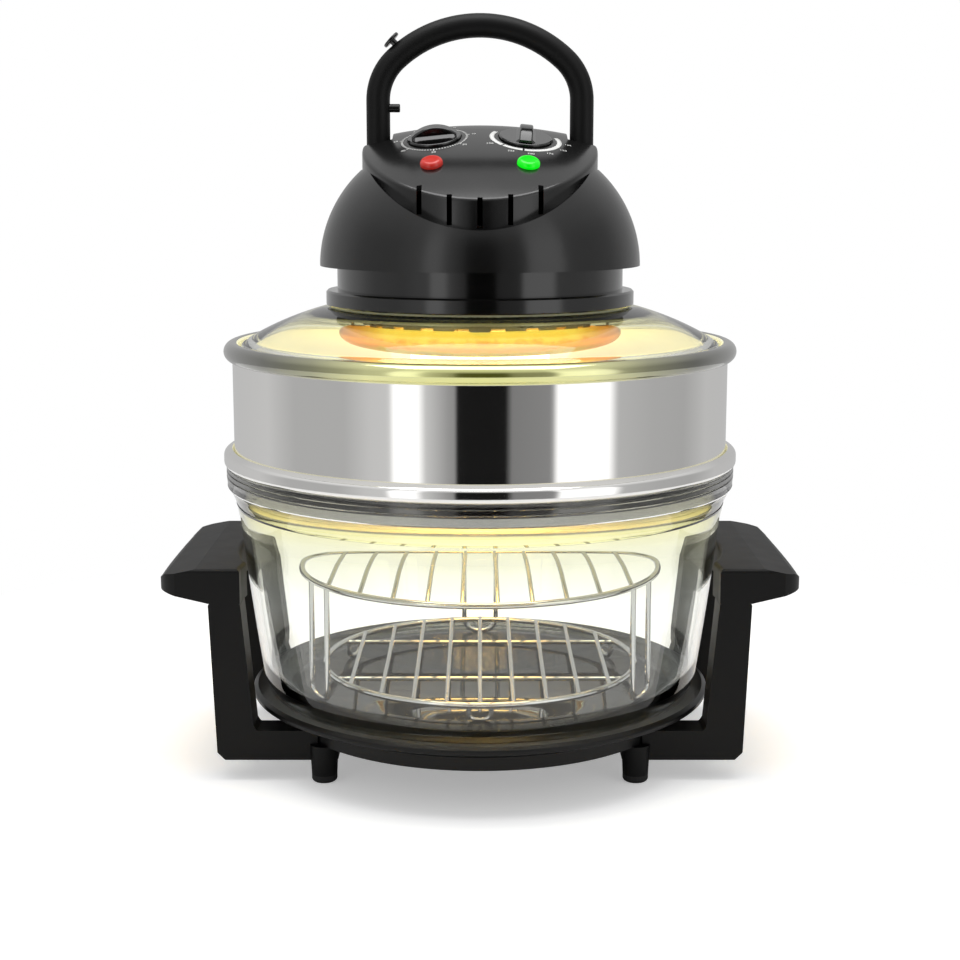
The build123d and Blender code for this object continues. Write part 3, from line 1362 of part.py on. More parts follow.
def build_rack(radius, height, pitch, count, cross_places, leg_turns, leg_half_width):
    """A wire rack: ring and straight wires in one layer, on hairpin legs down to the bowl's floor."""
    ring_z = bowl_floor_z + height - WIRE_RADIUS
    foot_z = bowl_floor_z + thin_wire_radius + 0.15
    with BuildPart() as rack:
        with Locations((0, 0, ring_z)):
            Torus(radius, WIRE_RADIUS)
        for number in range(count):
            wire_x = pitch * (number - (count - 1) / 2)
            with Locations((wire_x, 0, ring_z + 0.6)):
                Cylinder(thin_wire_radius, 2 * sqrt(radius**2 - wire_x**2) + 1, rotation=(90, 0, 0))
        for wire_y in cross_places:
            with Locations((0, wire_y, ring_z - 0.9)):
                Cylinder(thin_wire_radius, 2 * sqrt(radius**2 - wire_y**2) + 1, rotation=(0, 90, 0))
        for turn in leg_turns:
            leg_side = Plane(
                origin=(*polar(radius - 1, turn), 0), x_dir=(*polar(1, turn + 90), 0), z_dir=(*polar(1, turn), 0)
            )
            with BuildLine(leg_side) as leg:
                FilletPolyline(
                    (-leg_half_width, ring_z + 0.3),
                    (-leg_half_width, foot_z),
                    (leg_half_width, foot_z),
                    (leg_half_width, ring_z + 0.3),
                    radius=leg_half_width - 2,
                )
            leg_wire = leg.wires()[0]
            with BuildSketch(Plane(origin=leg_wire @ 0, z_dir=leg_wire % 0)):
                Circle(thin_wire_radius + 0.15)
            sweep(path=leg_wire)
    return rack


thin_wire_radius = WIRE_RADIUS - 0.4
low_rack = build_rack(low_rack_radius, LOW_RACK_HEIGHT, 21.0, 9, (-45, 45), (30, 150, 270), 7.0)
export(low_rack, "low_rack")
high_rack = build_rack(high_rack_radius, HIGH_RACK_HEIGHT, 21.5, 10, (), (90, 210, 330), 12.0)
export(high_rack, "high_rack")
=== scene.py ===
"""Countertop halogen oven: glass bowl on a black stand, steel extender ring, glass lid and a black head.

The camera stands in front at -Y, a little above the lid, and looks slightly down.
"""

from math import atan2, cos, pi, radians, sin, sqrt

import bmesh
import bpy
from mathutils import Matrix, Vector


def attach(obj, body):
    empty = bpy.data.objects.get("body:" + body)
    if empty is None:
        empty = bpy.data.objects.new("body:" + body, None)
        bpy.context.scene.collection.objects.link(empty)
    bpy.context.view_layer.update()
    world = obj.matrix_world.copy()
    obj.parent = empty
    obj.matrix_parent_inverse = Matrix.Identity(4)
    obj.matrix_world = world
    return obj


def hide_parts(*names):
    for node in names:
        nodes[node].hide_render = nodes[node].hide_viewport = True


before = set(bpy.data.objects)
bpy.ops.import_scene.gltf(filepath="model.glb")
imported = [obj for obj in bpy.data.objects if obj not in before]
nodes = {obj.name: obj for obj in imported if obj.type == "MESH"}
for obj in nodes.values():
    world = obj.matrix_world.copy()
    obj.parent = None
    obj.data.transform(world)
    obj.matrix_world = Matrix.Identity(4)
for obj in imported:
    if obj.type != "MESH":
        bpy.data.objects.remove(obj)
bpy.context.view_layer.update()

MM = 0.001
ROUND = 256  # sides of a large turned piece
WELD = 0.001  # points nearer than this, in millimetres, become one

# ---- making things -----------------------------------------------------------------------------


def linear(hex_colour, alpha=1.0):
    """An sRGB hex colour as the linear colour that a shader takes."""
    values = [int(hex_colour[i : i + 2], 16) / 255 for i in (1, 3, 5)]
    return [v / 12.92 if v <= 0.04045 else ((v + 0.055) / 1.055) ** 2.4 for v in values] + [alpha]


def add_node(tree, kind, settings=None, inputs=None):
    """A shader node: settings are its properties; an input is a value, or another node's output to link."""
    node = tree.nodes.new(kind)
    for name, value in (settings or {}).items():
        setattr(node, name, value)
    for name, value in (inputs or {}).items():
        if isinstance(value, bpy.types.NodeSocket):
            tree.links.new(value, node.inputs[name])
        else:
            node.inputs[name].default_value = value
    return node


def new_material(name):
    """An empty material with its node tree and output."""
    material = bpy.data.materials.new(name)
    material.use_nodes = True
    material.node_tree.nodes.clear()
    return material, material.node_tree, add_node(material.node_tree, "ShaderNodeOutputMaterial")


def finish_shader(tree, output, shader):
    """Links a shader to the output."""
    tree.links.new(shader, output.inputs["Surface"])


def in_scene(thing):
    """Puts an object into the scene's collection."""
    bpy.context.scene.collection.objects.link(thing)
    return thing


def mesh_object(name, vertices, faces, material, body):
    """A smooth mesh from millimetre points, riding on a body."""
    mesh = bpy.data.meshes.new(name)
    mesh.from_pydata([[v * MM for v in point] for point in vertices], [], faces)
    mesh.validate()
    mesh.update()
    for polygon in mesh.polygons:
        polygon.use_smooth = True
    thing = in_scene(bpy.data.objects.new(name, mesh))
    mesh.materials.append(material)
    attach(thing, body)
    return thing


def turned(name, outlines, material, body, sides=ROUND, crease=35.0):
    """A turned piece: closed outlines of (radius, height) points, swept round the bowl's axis."""
    vertices, faces = [], []
    for outline in outlines:
        count, first = len(outline), len(vertices)
        for k in range(sides):
            turn = 2 * pi * k / sides
            vertices += [(radius * cos(turn), radius * sin(turn), height) for radius, height in outline]
            here, there = first + k * count, first + (k + 1) % sides * count
            for i in range(count):
                j = (i + 1) % count
                faces.append((here + i, there + i, there + j, here + j))
    thing = mesh_object(name, vertices, faces, material, body)
    work = bmesh.new()
    work.from_mesh(thing.data)
    bmesh.ops.remove_doubles(work, verts=work.verts, dist=WELD * MM)
    bmesh.ops.recalc_face_normals(work, faces=work.faces)
    work.to_mesh(thing.data)
    work.free()
    thing.data.set_sharp_from_angle(angle=radians(crease))
    return thing


def arc(start, middle, end, steps=14):
    """Points on the circle through three points, from start up to but not including end."""
    (ax, ay), (bx, by), (cx, cy) = start, middle, end
    twice = 2 * (ax * (by - cy) + bx * (cy - ay) + cx * (ay - by))
    a2, b2, c2 = ax**2 + ay**2, bx**2 + by**2, cx**2 + cy**2
    x = (a2 * (by - cy) + b2 * (cy - ay) + c2 * (ay - by)) / twice
    y = (a2 * (cx - bx) + b2 * (ax - cx) + c2 * (bx - ax)) / twice
    radius = sqrt((ax - x) ** 2 + (ay - y) ** 2)
    first, halfway, last = (atan2(v - y, u - x) for u, v in (start, middle, end))
    turn = (last - first) % (2 * pi)
    if (halfway - first) % (2 * pi) > turn:
        turn -= 2 * pi
    angles = [first + turn * k / steps for k in range(steps)]
    return [(x + radius * cos(angle), y + radius * sin(angle)) for angle in angles]


def rounded(points, steps=5, closed=True):
    """A line of points with its corners rounded: each point is (x, y) or (x, y, radius)."""
    result = []
    for i, (x, y, *radius) in enumerate(points):
        if not radius or (not closed and i in (0, len(points) - 1)):
            result.append((x, y))
            continue
        here = Vector((x, y))
        before = Vector(points[i - 1][:2]) - here
        after = Vector(points[(i + 1) % len(points)][:2]) - here
        reach = min(radius[0], 0.48 * before.length, 0.48 * after.length)
        start, end = here + before.normalized() * reach, here + after.normalized() * reach
        for step in range(steps + 1):
            t = step / steps
            result.append(tuple(start * (1 - t) ** 2 + here * 2 * t * (1 - t) + end * t**2))
    return result


def sheet(points, thickness):
    """The closed outline of bent sheet metal that follows an open line of points."""
    sides = ([], [])
    for i, point in enumerate(points):
        before, after = Vector(points[max(i - 1, 0)]), Vector(points[min(i + 1, len(points) - 1)])
        along = (after - before).normalized() * thickness / 2
        sides[0].append((point[0] - along.y, point[1] + along.x))
        sides[1].append((point[0] + along.y, point[1] - along.x))
    return sides[0] + sides[1][::-1]


# ---- parts of materials ------------------------------------------------------------------------


def maths(tree, operation, *values, clamp=False):
    """A maths node's output, from numbers or other nodes' outputs."""
    settings = {"operation": operation, "use_clamp": clamp}
    return add_node(tree, "ShaderNodeMath", settings, dict(enumerate(values))).outputs[0]


def bump_from(tree, height, distance_mm):
    """A bump of a height in millimetres."""
    return add_node(
        tree, "ShaderNodeBump", inputs={"Height": height, "Distance": distance_mm * MM, "Strength": 1.0}
    ).outputs["Normal"]


def noise(tree, size_mm, detail=4.0, roughness=0.55, stretch=(1, 1, 1)):
    """Noise in object space with features of about a size in millimetres."""
    place = add_node(tree, "ShaderNodeTexCoord").outputs["Object"]
    scaled = add_node(tree, "ShaderNodeMapping", inputs={"Vector": place, "Scale": stretch}).outputs["Vector"]
    return add_node(
        tree,
        "ShaderNodeTexNoise",
        inputs={"Vector": scaled, "Scale": 1 / (size_mm * MM), "Detail": detail, "Roughness": roughness},
    ).outputs[0]


def ramp(tree, factor, stops):
    """A colour ramp: stops are (position, hex colour or grey value)."""
    node = add_node(tree, "ShaderNodeValToRGB", inputs={"Fac": factor})
    elements = node.color_ramp.elements
    while len(elements) < len(stops):
        elements.new(0.5)
    for element, (position, colour) in zip(elements, stops):
        element.position = position
        element.color = linear(colour) if isinstance(colour, str) else [colour, colour, colour, 1]
    return node.outputs["Color"]


def blend(tree, factor, first, second):
    """A mix of two colours."""
    inputs = {"Factor": factor, "A": first, "B": second}
    return add_node(tree, "ShaderNodeMix", {"data_type": "RGBA"}, inputs).outputs["Result"]


def share_between(tree, value, low, high):
    """How far a value in metres has got from one size in millimetres to another: 0 to 1."""
    inputs = {"Value": value, "From Min": low * MM, "From Max": high * MM}
    return add_node(tree, "ShaderNodeMapRange", inputs=inputs).outputs["Result"]


def object_axes(tree):
    """The place on the object, split into X, Y and Z."""
    place = add_node(tree, "ShaderNodeTexCoord").outputs["Object"]
    return add_node(tree, "ShaderNodeSeparateXYZ", inputs={"Vector": place}).outputs


def spread(tree, part, stops, low, high):
    """A ramp over the radius from the bowl's axis, or over the height, between two sizes in millimetres."""
    axes = object_axes(tree)
    if part == "height":
        value = axes["Z"]
    else:
        flat = add_node(tree, "ShaderNodeCombineXYZ", inputs={"X": axes["X"], "Y": axes["Y"]})
        value = add_node(
            tree, "ShaderNodeVectorMath", {"operation": "LENGTH"}, {0: flat.outputs["Vector"]}
        ).outputs["Value"]
    return ramp(tree, share_between(tree, value, low, high), stops)


def sideways(tree, reach):
    """The distance to the left or right of the middle, as a share of a reach in millimetres."""
    return share_between(tree, maths(tree, "ABSOLUTE", object_axes(tree)["X"]), 0.0, reach)


def surface(tree, output, inputs):
    """A principled surface with these inputs, linked to the output."""
    shader = add_node(tree, "ShaderNodeBsdfPrincipled", inputs=inputs)
    finish_shader(tree, output, shader.outputs["BSDF"])


# ---- kinds of material -------------------------------------------------------------------------

PLASTIC_IOR = 1.5
GLASS_IOR = 1.47
CLOUD_SIZE = 18  # millimetres: how large the patches of slightly different gloss are on plastic


def moulded_plastic(name, colours, roughness, grain_mm, grain_depth_mm, coat=0.0, shine=0.5):
    """Moulded plastic: an even colour, a slightly uneven gloss, and the mould's grain as a fine bump."""
    material, tree, output = new_material(name)
    cloudy = noise(tree, CLOUD_SIZE, detail=3)
    grain = noise(tree, grain_mm, detail=2)
    surface(
        tree,
        output,
        {
            "Base Color": blend(tree, cloudy, linear(colours[0]), linear(colours[1])),
            "Roughness": ramp(tree, cloudy, [(0.3, roughness * 0.96), (0.7, roughness * 1.04)]),
            "IOR": PLASTIC_IOR,
            "Normal": bump_from(tree, grain, grain_depth_mm),
            "Specular IOR Level": shine,
            "Coat Weight": coat,
            "Coat Roughness": 0.12,
        },
    )
    return material


def plain_metal(name, colour, roughness, grain_mm=0.6, depth_mm=0.004):
    """Metal with a fine grain, which also makes its gloss a little uneven."""
    material, tree, output = new_material(name)
    grain = noise(tree, grain_mm, detail=3)
    surface(
        tree,
        output,
        {
            "Base Color": linear(colour),
            "Metallic": 1.0,
            "Roughness": ramp(tree, grain, [(0.3, roughness * 0.85), (0.7, roughness * 1.15)]),
            "Normal": bump_from(tree, grain, depth_mm),
        },
    )
    return material


def clear_glass(name, part, stops, low, high):
    """Pressed soda-lime glass, with a painted yellow of the lamp's light where the lamp is near, and clear beyond.
    """
    material, tree, output = new_material(name)
    ripple = noise(tree, 30, detail=1)
    glass = add_node(
        tree,
        "ShaderNodeBsdfPrincipled",
        inputs={
            # painted light: this colour over radius or height stands in for the lamp's yellow light, and on the
            # bowl also for shade in the lip
            "Base Color": spread(tree, part, stops, low, high),
            "Transmission Weight": 1.0,
            "Roughness": 0.0,
            "IOR": GLASS_IOR,
            "Normal": bump_from(tree, ripple, 0.02),
        },
    )
    through = add_node(tree, "ShaderNodeBsdfTransparent", inputs={"Color": linear("#F4F7F5")})
    shadow = add_node(tree, "ShaderNodeLightPath").outputs["Is Shadow Ray"]
    shaders = {0: shadow, 1: glass.outputs["BSDF"], 2: through.outputs["BSDF"]}
    mixed = add_node(tree, "ShaderNodeMixShader", inputs=shaders)
    finish_shader(tree, output, mixed.outputs["Shader"])
    return material


def lamp_lit_steel(name):
    """The ring's inside: satin steel with a painted glow standing in for the lamp's light, brightest near the lid.
    """
    material, tree, output = new_material(name)
    grain = noise(tree, 0.8, detail=3, stretch=(1, 1, 0.1))
    surface(
        tree,
        output,
        {
            "Base Color": linear("#E8E7E4"),
            "Metallic": 1.0,
            "Roughness": 0.35,
            "Normal": bump_from(tree, grain, 0.002),
            # painted glow: the lamp's light on the steel, paler low down and brighter towards the lid
            "Emission Color": spread(tree, "height", [(0.0, "#C9C49A"), (1.0, "#FFF9B4")], 205, 275),
            "Emission Strength": 0.5,
        },
    )
    return material


def lamp_warmed_steel(name):
    """The ring's upper rim: polished steel with a painted reflection of the warm lid and a painted glow, most of
    all at its middle.
    """
    material, tree, output = new_material(name)
    across = sideways(tree, 165)
    # painted reflection and painted glow: the warm lid mirrored in the rim, warmest at the middle and greyer
    # towards the sides
    painted_reflection_tints = [(0.0, "#D6D798"), (0.4, "#DCDCA8"), (0.6, "#A6A68E"), (0.8, "#8A8A84"), (1.0, "#A8A8A6")]
    glows = [(0.0, "#50521C"), (0.45, "#40401C"), (0.75, "#000000")]
    surface(
        tree,
        output,
        {
            "Base Color": ramp(tree, across, painted_reflection_tints),
            "Metallic": 1.0,
            "Roughness": 0.12,
            "Normal": bump_from(tree, noise(tree, 0.6, detail=3), 0.0005),
            "Emission Color": ramp(tree, across, glows),
            "Emission Strength": 0.8,
        },
    )
    return material


def lit_reflector(name):
    """The heater pan: dull amber metal with a painted glow standing in for the halogen tube's light, brightest at
    the top, and painted shade turning it brown at the ends.
    """
    material, tree, output = new_material(name)
    across = sideways(tree, 94)
    up = share_between(tree, object_axes(tree)["Z"], 267, 290)
    mottled = maths(tree, "MULTIPLY_ADD", noise(tree, 9, detail=4, roughness=0.65), 0.7, -0.35)
    # painted glow: yellow bands of the tube's light, mottled, brightest at the top
    painted_glow_bands = ramp(
        tree,
        maths(tree, "ADD", up, mottled, clamp=True),
        [
            (0.0, "#8F8A30"),
            (0.2, "#BFA930"),
            (0.36, "#D8902A"),
            (0.52, "#E89E30"),
            (0.7, "#FFDC50"),
            (1.0, "#FFEA68"),
        ],
    )
    # painted shade: the glow dims to orange and brown towards the pan's ends
    towards_ends = ramp(tree, across, [(0.62, 0.0), (0.82, 0.75), (0.96, 1.0)])
    ends = ramp(tree, across, [(0.84, "#C0682E"), (0.95, "#9A5A2A"), (0.99, "#5A4420")])
    surface(
        tree,
        output,
        {
            "Base Color": linear("#C08A3C"),
            "Metallic": 1.0,
            "Roughness": 0.4,
            "Emission Color": blend(tree, towards_ends, painted_glow_bands, ends),
            "Emission Strength": 0.95,
        },
    )
    return material


def lamp_material(name, colour, strength, base="#FFE2B0"):
    """Something that glows, with a smooth surface of its own base colour."""
    material, tree, output = new_material(name)
    surface(
        tree,
        output,
        {
            "Base Color": linear(base),
            "Roughness": 0.15,
            "Emission Color": linear(colour),
            "Emission Strength": strength,
        },
    )
    return material


# ---- the oven's materials ----------------------------------------------------------------------

# Moulded nylon: a soft broad sheen over a fine grain, on the stand, the grips and the bail
black_grip = moulded_plastic("black_nylon_fine_grain", ("#090909", "#0d0d0d"), 0.46, 0.7, 0.01, shine=0.2)
# Glossy ABS: a sharp small highlight on the bail's stud and peg
black_gloss = moulded_plastic("black_abs_gloss", ("#0a0a0a", "#0e0e0e"), 0.16, 1.2, 0.003, coat=0.3)
# Matt ABS: the tray stays nearly black behind the bright glass
tray_black = moulded_plastic("black_abs_matt", ("#070707", "#0a0a0a"), 0.34, 0.9, 0.004, shine=0.25)
# Satin ABS: wide grey streaks down the dome and an even dark face
cover_black = moulded_plastic("black_abs_satin", ("#0e0e0e", "#121212"), 0.2, 0.9, 0.0015, shine=0.6)
# Polished phenolic: the neck's and collar's crisp upright streaks
neck_black = moulded_plastic("black_phenolic_polished", ("#0a0a0a", "#0d0d0d"), 0.13, 1.5, 0.002, coat=0.5)
# Glossy phenolic: the knobs are the deepest black, with bright edges
knob_black = moulded_plastic("black_phenolic_gloss", ("#070707", "#0a0a0a"), 0.16, 1.5, 0.002, coat=0.5)
# Cured rubber: dull and dark under the feet
rubber = moulded_plastic("black_rubber", ("#0e0e0e", "#131313"), 0.6, 1.0, 0.02)
# Silicone: a pale soft line round the glass under the collar
silicone = moulded_plastic("pale_silicone", ("#B9BDAE", "#C4C8B8"), 0.5, 1.0, 0.01)
# Natural nylon: off-white blocks inside the head
white_plastic = moulded_plastic("white_nylon", ("#d8d4c8", "#dedacf"), 0.4, 1.0, 0.006)
# Unglazed steatite: cream, dry and slightly rough
ceramic = moulded_plastic("steatite_ceramic", ("#e6e0d2", "#eee9dd"), 0.55, 0.5, 0.01)
# Mineral fibre board: coarse, chalky and without shine
mineral = moulded_plastic("mineral_fibre_board", ("#cfc8b4", "#dad3c0"), 0.9, 0.8, 0.08)
# Screen-printed ink: flat white marks on the black face
print_white = moulded_plastic("screen_printed_white", ("#E4E4E2", "#EDEDEB"), 0.5, 0.5, 0.004)
# Polished stainless sheet: mirrors the studio's panels as upright bands
steel = plain_metal("stainless_steel_polished", "#EFEEEC", 0.06, depth_mm=0.0005)
# The same sheet inside the ring, brushed, with a painted glow for the lamp's light in it
steel_inside = lamp_lit_steel("stainless_steel_inside_painted_glow")
# The same sheet at the rolled rim, with a painted reflection of the lid's warm light in it
steel_rim = lamp_warmed_steel("stainless_steel_rim_painted_reflection")
# Chromed wire: thin bright lines with dark edges
chrome = plain_metal("chromed_wire", "#D6D7D9", 0.08, depth_mm=0.001)
# Rolled steel sheet: grey with a blurred sheen
brushed = plain_metal("steel_rolled", "#9a9a98", 0.35)
# Zinc plate: a slightly warm grey on the screws
zinc = plain_metal("zinc_plated_steel", "#8f8e88", 0.3)
# Laminated iron: dark and dull
dark_iron = plain_metal("laminated_iron", "#4a4a4c", 0.45)
# Enamelled winding wire: a warm brown-red
copper = plain_metal("enamelled_copper", "#B0603A", 0.35)
# Sintered bronze: dull brown
bronze = plain_metal("sintered_bronze", "#8A6A3A", 0.4)
# Pressed aluminium: pale, with a soft sheen
aluminium = plain_metal("pressed_aluminium", "#C8C9CB", 0.32)
# Neon glow lamps: a faint orange behind the lenses
neon = lamp_material("neon_lamp_glass", "#FF7A30", 0.25)
# Reflector: amber and yellow patches of painted glow, with painted shade turning brown at the ends
amber = lit_reflector("reflector_painted_glow")
# Lit quartz: a bright yellow ring in the pan
quartz = lamp_material("quartz_tube_lit", "#FFC04A", 6.0)
# Unlit red lens: a deep, glossy red, with a faint painted glow
red = lamp_material("red_lens", "#A02018", 0.25, base="#BE3028")
# Lit green lens: a clean, bright green
green = lamp_material("green_lens_lit", "#00F010", 0.95, base="#004A08")
# The lid's glass: a painted yellow of the lamp's light near the lamp, clear at the edge
lid_clear = clear_glass(
    "lid_glass_clear", "radius", [(0.0, "#FFFCB4"), (0.4, "#FFFEDC"), (0.8, "#FEFFFA")], 90, 156
)
# The bowl's glass: clear below, a faint painted yellow of the lamp's light under the ring, and painted grey shade
# in the thick lip
bowl_clear = clear_glass(
    "bowl_glass_clear",
    "height",
    [(0.0, "#FBFDFC"), (0.5, "#FDFEF8"), (0.86, "#FFFDD8"), (0.9, "#A2A2A0"), (1.0, "#969694")],
    60,
    200,
)

finishes = {
    "base_tray": tray_black,
    "left_side_frame": black_grip,
    "right_side_frame": black_grip,
    "left_grip": black_grip,
    "right_grip": black_grip,
    "foot_pads": rubber,
    "frame_screws": zinc,
    "glass_bowl": bowl_clear,
    "extender_ring": steel,
    "lid_glass": lid_clear,
    "glass_gaskets": silicone,
    "lower_housing": neck_black,
    "cover_screws": zinc,
    "upper_cover": cover_black,
    "clamp_ring": aluminium,
    "clamp_screws": zinc,
    "fan_shroud": brushed,
    "heater_pan": amber,
    "pan_brackets": brushed,
    "heater_guard": chrome,
    "halogen_tube": quartz,
    "lamp_filament": dark_iron,
    "lamp_holders": ceramic,
    "temperature_sensor": bronze,
    "heat_shield": aluminium,
    "insulation_disc": mineral,
    "motor_bridges": aluminium,
    "shaft_bushes": bronze,
    "motor_core": dark_iron,
    "motor_coil": copper,
    "motor_screws": zinc,
    "terminal_block": white_plastic,
    "timer_body": brushed,
    "thermostat_body": brushed,
    "neon_lamps": neon,
    "red_lens": red,
    "green_lens": green,
    "safety_switch": white_plastic,
    "cord_gland": black_grip,
    "pivot_pins": zinc,
    "bail_handle": black_grip,
    "handle_stud": black_gloss,
    "striker_peg": black_gloss,
    "timer_knob": knob_black,
    "timer_spindle": bronze,
    "thermostat_knob": knob_black,
    "thermostat_spindle": bronze,
    "motor_shaft": brushed,
    "motor_rotor": dark_iron,
    "convection_fan": aluminium,
    "fan_nut": zinc,
    "cooling_fan": aluminium,
    "switch_plunger": white_plastic,
    "low_rack": chrome,
    "high_rack": chrome,
}
for name, finish in finishes.items():
    for place in nodes[name].material_slots:
        place.material = finish

# ---- glass, steel and reflector in fine turned form ---------------------------------------------
# Each point is a radius and a height in millimetres, and a third number is a corner's rounding.

BOWL_WALL = 5.0
BOWL_UNDERSIDE, BOWL_FLOOR, BOWL_RIM = 40.0, 46.0, 200.0
BOWL_RIM_RADIUS, BOWL_MOUTH = 169.5, 157.0
GROOVE_DEPTH, GROOVE_CORNER = 0.7, 0.3
foot, heel, shoulder = (128.0, BOWL_UNDERSIDE), (148.5, 62.0), (162.0, 171.0)
wall_middle = (155.85, 116.5)
inner_heel, inner_foot = (heel[0] - BOWL_WALL, heel[1] + 1.0), (127.0, BOWL_FLOOR)


def lip_groove(height):
    """A fine groove round the bowl's lip, upwards from a height."""
    depth = BOWL_RIM_RADIUS - GROOVE_DEPTH
    return rounded(
        [
            (BOWL_RIM_RADIUS, height),
            (depth, height + 0.3, GROOVE_CORNER),
            (depth, height + 0.9, GROOVE_CORNER),
            (BOWL_RIM_RADIUS, height + 1.2),
        ],
        steps=3,
    )


bowl_flare = rounded([(*shoulder, 4), (164.4, 178, 4), (167.5, 184, 3), (BOWL_RIM_RADIUS, 187, 2)])
bowl_rim = rounded(
    [
        (BOWL_RIM_RADIUS, BOWL_RIM - 2),
        (BOWL_RIM_RADIUS, BOWL_RIM, 1.0),
        (BOWL_MOUTH, BOWL_RIM, 1.0),
        (BOWL_MOUTH, BOWL_RIM - 2),
    ]
)[1:-1]
bowl_outline = (
    [(0, BOWL_UNDERSIDE)]
    + arc(foot, (140.5, 46.2), heel)
    + arc(heel, wall_middle, shoulder)
    + bowl_flare
    + lip_groove(192.4)
    + lip_groove(196.0)
    + bowl_rim
    + arc((BOWL_MOUTH, shoulder[1]), (wall_middle[0] - BOWL_WALL, wall_middle[1]), inner_heel)
    + arc(inner_heel, (135.5, 51.2), inner_foot)
    + [inner_foot, (0, BOWL_FLOOR)]
)
bowl = turned("bowl_glass", [bowl_outline], bowl_clear, "bowl", crease=60)
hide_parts("glass_bowl")

LID_HOLE, LID_RADIUS = 86.0, 159.4
LID_TOP, LID_SEAT = 302.5, 273.0
LID_UNDERSIDE = LID_TOP - 4.0
LID_STEPS = 24
lid_outline = (
    [(LID_HOLE, LID_TOP)]
    + arc((103, LID_TOP), (134.4, 291.5), (156.4, 280.1), steps=LID_STEPS)
    + rounded([(156.4, 280.1, 1.5), (LID_RADIUS, 277.1, 2), (LID_RADIUS, LID_SEAT, 0.8), (153.4, LID_SEAT, 0.8)])
    + arc((153.0, LID_SEAT + 0.3), (132.4, 287.9), (102, LID_UNDERSIDE), steps=LID_STEPS)
    + [(102, LID_UNDERSIDE), (LID_HOLE, LID_UNDERSIDE)]
)
lid = turned("lid_cone_glass", [lid_outline], lid_clear, "lid", crease=50)
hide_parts("lid_glass")

SHEET = 1.2  # the ring's steel; its lines below run in the middle of the sheet
RING_FOOT, RING_WALL = 200.6, 163.4
ROLL_BOTTOM, ROLL_TOP, ROLL_REACH = 268.9, 279.9, 169.0
ROLL_START = RING_WALL + 0.8
LEDGE, LEDGE_WALL = 272.3, 160.8
BEAD_RADIUS = 170.3
wall_line = (
    [(RING_WALL, RING_FOOT), (RING_WALL, ROLL_BOTTOM)]
    + arc(
        (ROLL_START, ROLL_BOTTOM), (ROLL_REACH, (ROLL_BOTTOM + ROLL_TOP) / 2), (ROLL_START, ROLL_TOP), steps=20
    )
    + rounded(
        [(ROLL_START, ROLL_TOP), (LEDGE_WALL, ROLL_TOP, 1.6), (LEDGE_WALL, LEDGE, 1.6), (151.8, LEDGE)],
        closed=False,
    )
)
foot_line = rounded(
    [(159.4, RING_FOOT), (BEAD_RADIUS, RING_FOOT, 1.8), (BEAD_RADIUS, 207.8, 1.8), (165.2, 210.0)],
    closed=False,
)
spigot_line = [(155.8, 190.0), (155.8, RING_FOOT + 0.4)]
step_line = [(155.2, RING_FOOT), (RING_WALL, RING_FOOT)]
ring = turned(
    "extender_ring_steel",
    [sheet(line, SHEET) for line in (wall_line, foot_line, spigot_line, step_line)],
    steel,
    "extender",
)
ring.data.materials.append(steel_inside)
ring.data.materials.append(steel_rim)
# The inside faces take the steel with a painted glow, and the rolled rim's faces take the steel with a painted
# reflection
for face in ring.data.polygons:
    outward = face.normal.x * face.center.x + face.normal.y * face.center.y
    if outward < -0.5 * face.center.xy.length and face.center.z > 202 * MM:
        face.material_index = 1
    elif face.center.z > (ROLL_BOTTOM - 0.4) * MM:
        face.material_index = 2
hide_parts("extender_ring")

PAN_TOP, PAN_BOTTOM = 289.3, 267.8
PAN_SHEET = 1.0
pan_line = (
    [(76, PAN_TOP)]
    + arc((85, PAN_TOP), (93.5, 280.8), (80, PAN_BOTTOM), steps=20)
    + [(80, PAN_BOTTOM), (72, PAN_BOTTOM)]
)
pan = turned("heater_pan_reflector", [sheet(pan_line, PAN_SHEET)], amber, "lid", sides=160)
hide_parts("heater_pan")

# ---- printed dials on the control face ----------------------------------------------------------

SKIRT_Z = 329.5
FACE_FRONT = Vector((-90.0, SKIRT_Z + 43.6))  # the face's front edge: y and height
FACE_BACK = Vector((5.0, SKIRT_Z + 88.5))
FACE_RADIUS, CROWN_RADIUS = 290.0, 300.0
DIAL_X, DIAL_Y = 29.5, -12.5
LEFT, RIGHT = -1, 1
INK = 0.04  # thickness of the printed bands
BAND_LIFT, NUMBER_LIFT = 0.1, 0.14  # heights of the print above the face
NUMBER_SIZE, NUMBER_HALF_THICKNESS = 3.1, 0.03
chord = FACE_BACK - FACE_FRONT
inward = Vector((chord.y, -chord.x)).normalized()
face_centre = (FACE_FRONT + FACE_BACK) / 2 + inward * sqrt(FACE_RADIUS**2 - chord.length**2 / 4)
crown_axis_z = FACE_BACK.y - CROWN_RADIUS


def face_frame(x, y):
    """Point and outward normal of the control face above x and y."""
    profile = face_centre.y + sqrt(FACE_RADIUS**2 - (y - face_centre.x) ** 2)
    crown = profile - crown_axis_z
    z = crown_axis_z + sqrt(crown**2 - x**2)
    slope = (face_centre.x - y) / (profile - face_centre.y)
    return Vector((x, y, z)), Vector((x / crown, -slope, (z - crown_axis_z) / crown)).normalized()


def dial_point(side, radius, angle, lift=BAND_LIFT):
    """A point of the face at a radius and an angle round a dial; the angle is counted from +X."""
    tilt = face_frame(side * DIAL_X, DIAL_Y)[1].z
    x, y = side * DIAL_X + radius * cos(radians(angle)), DIAL_Y + tilt * radius * sin(radians(angle))
    point, normal = face_frame(x, y)
    return point + normal * lift


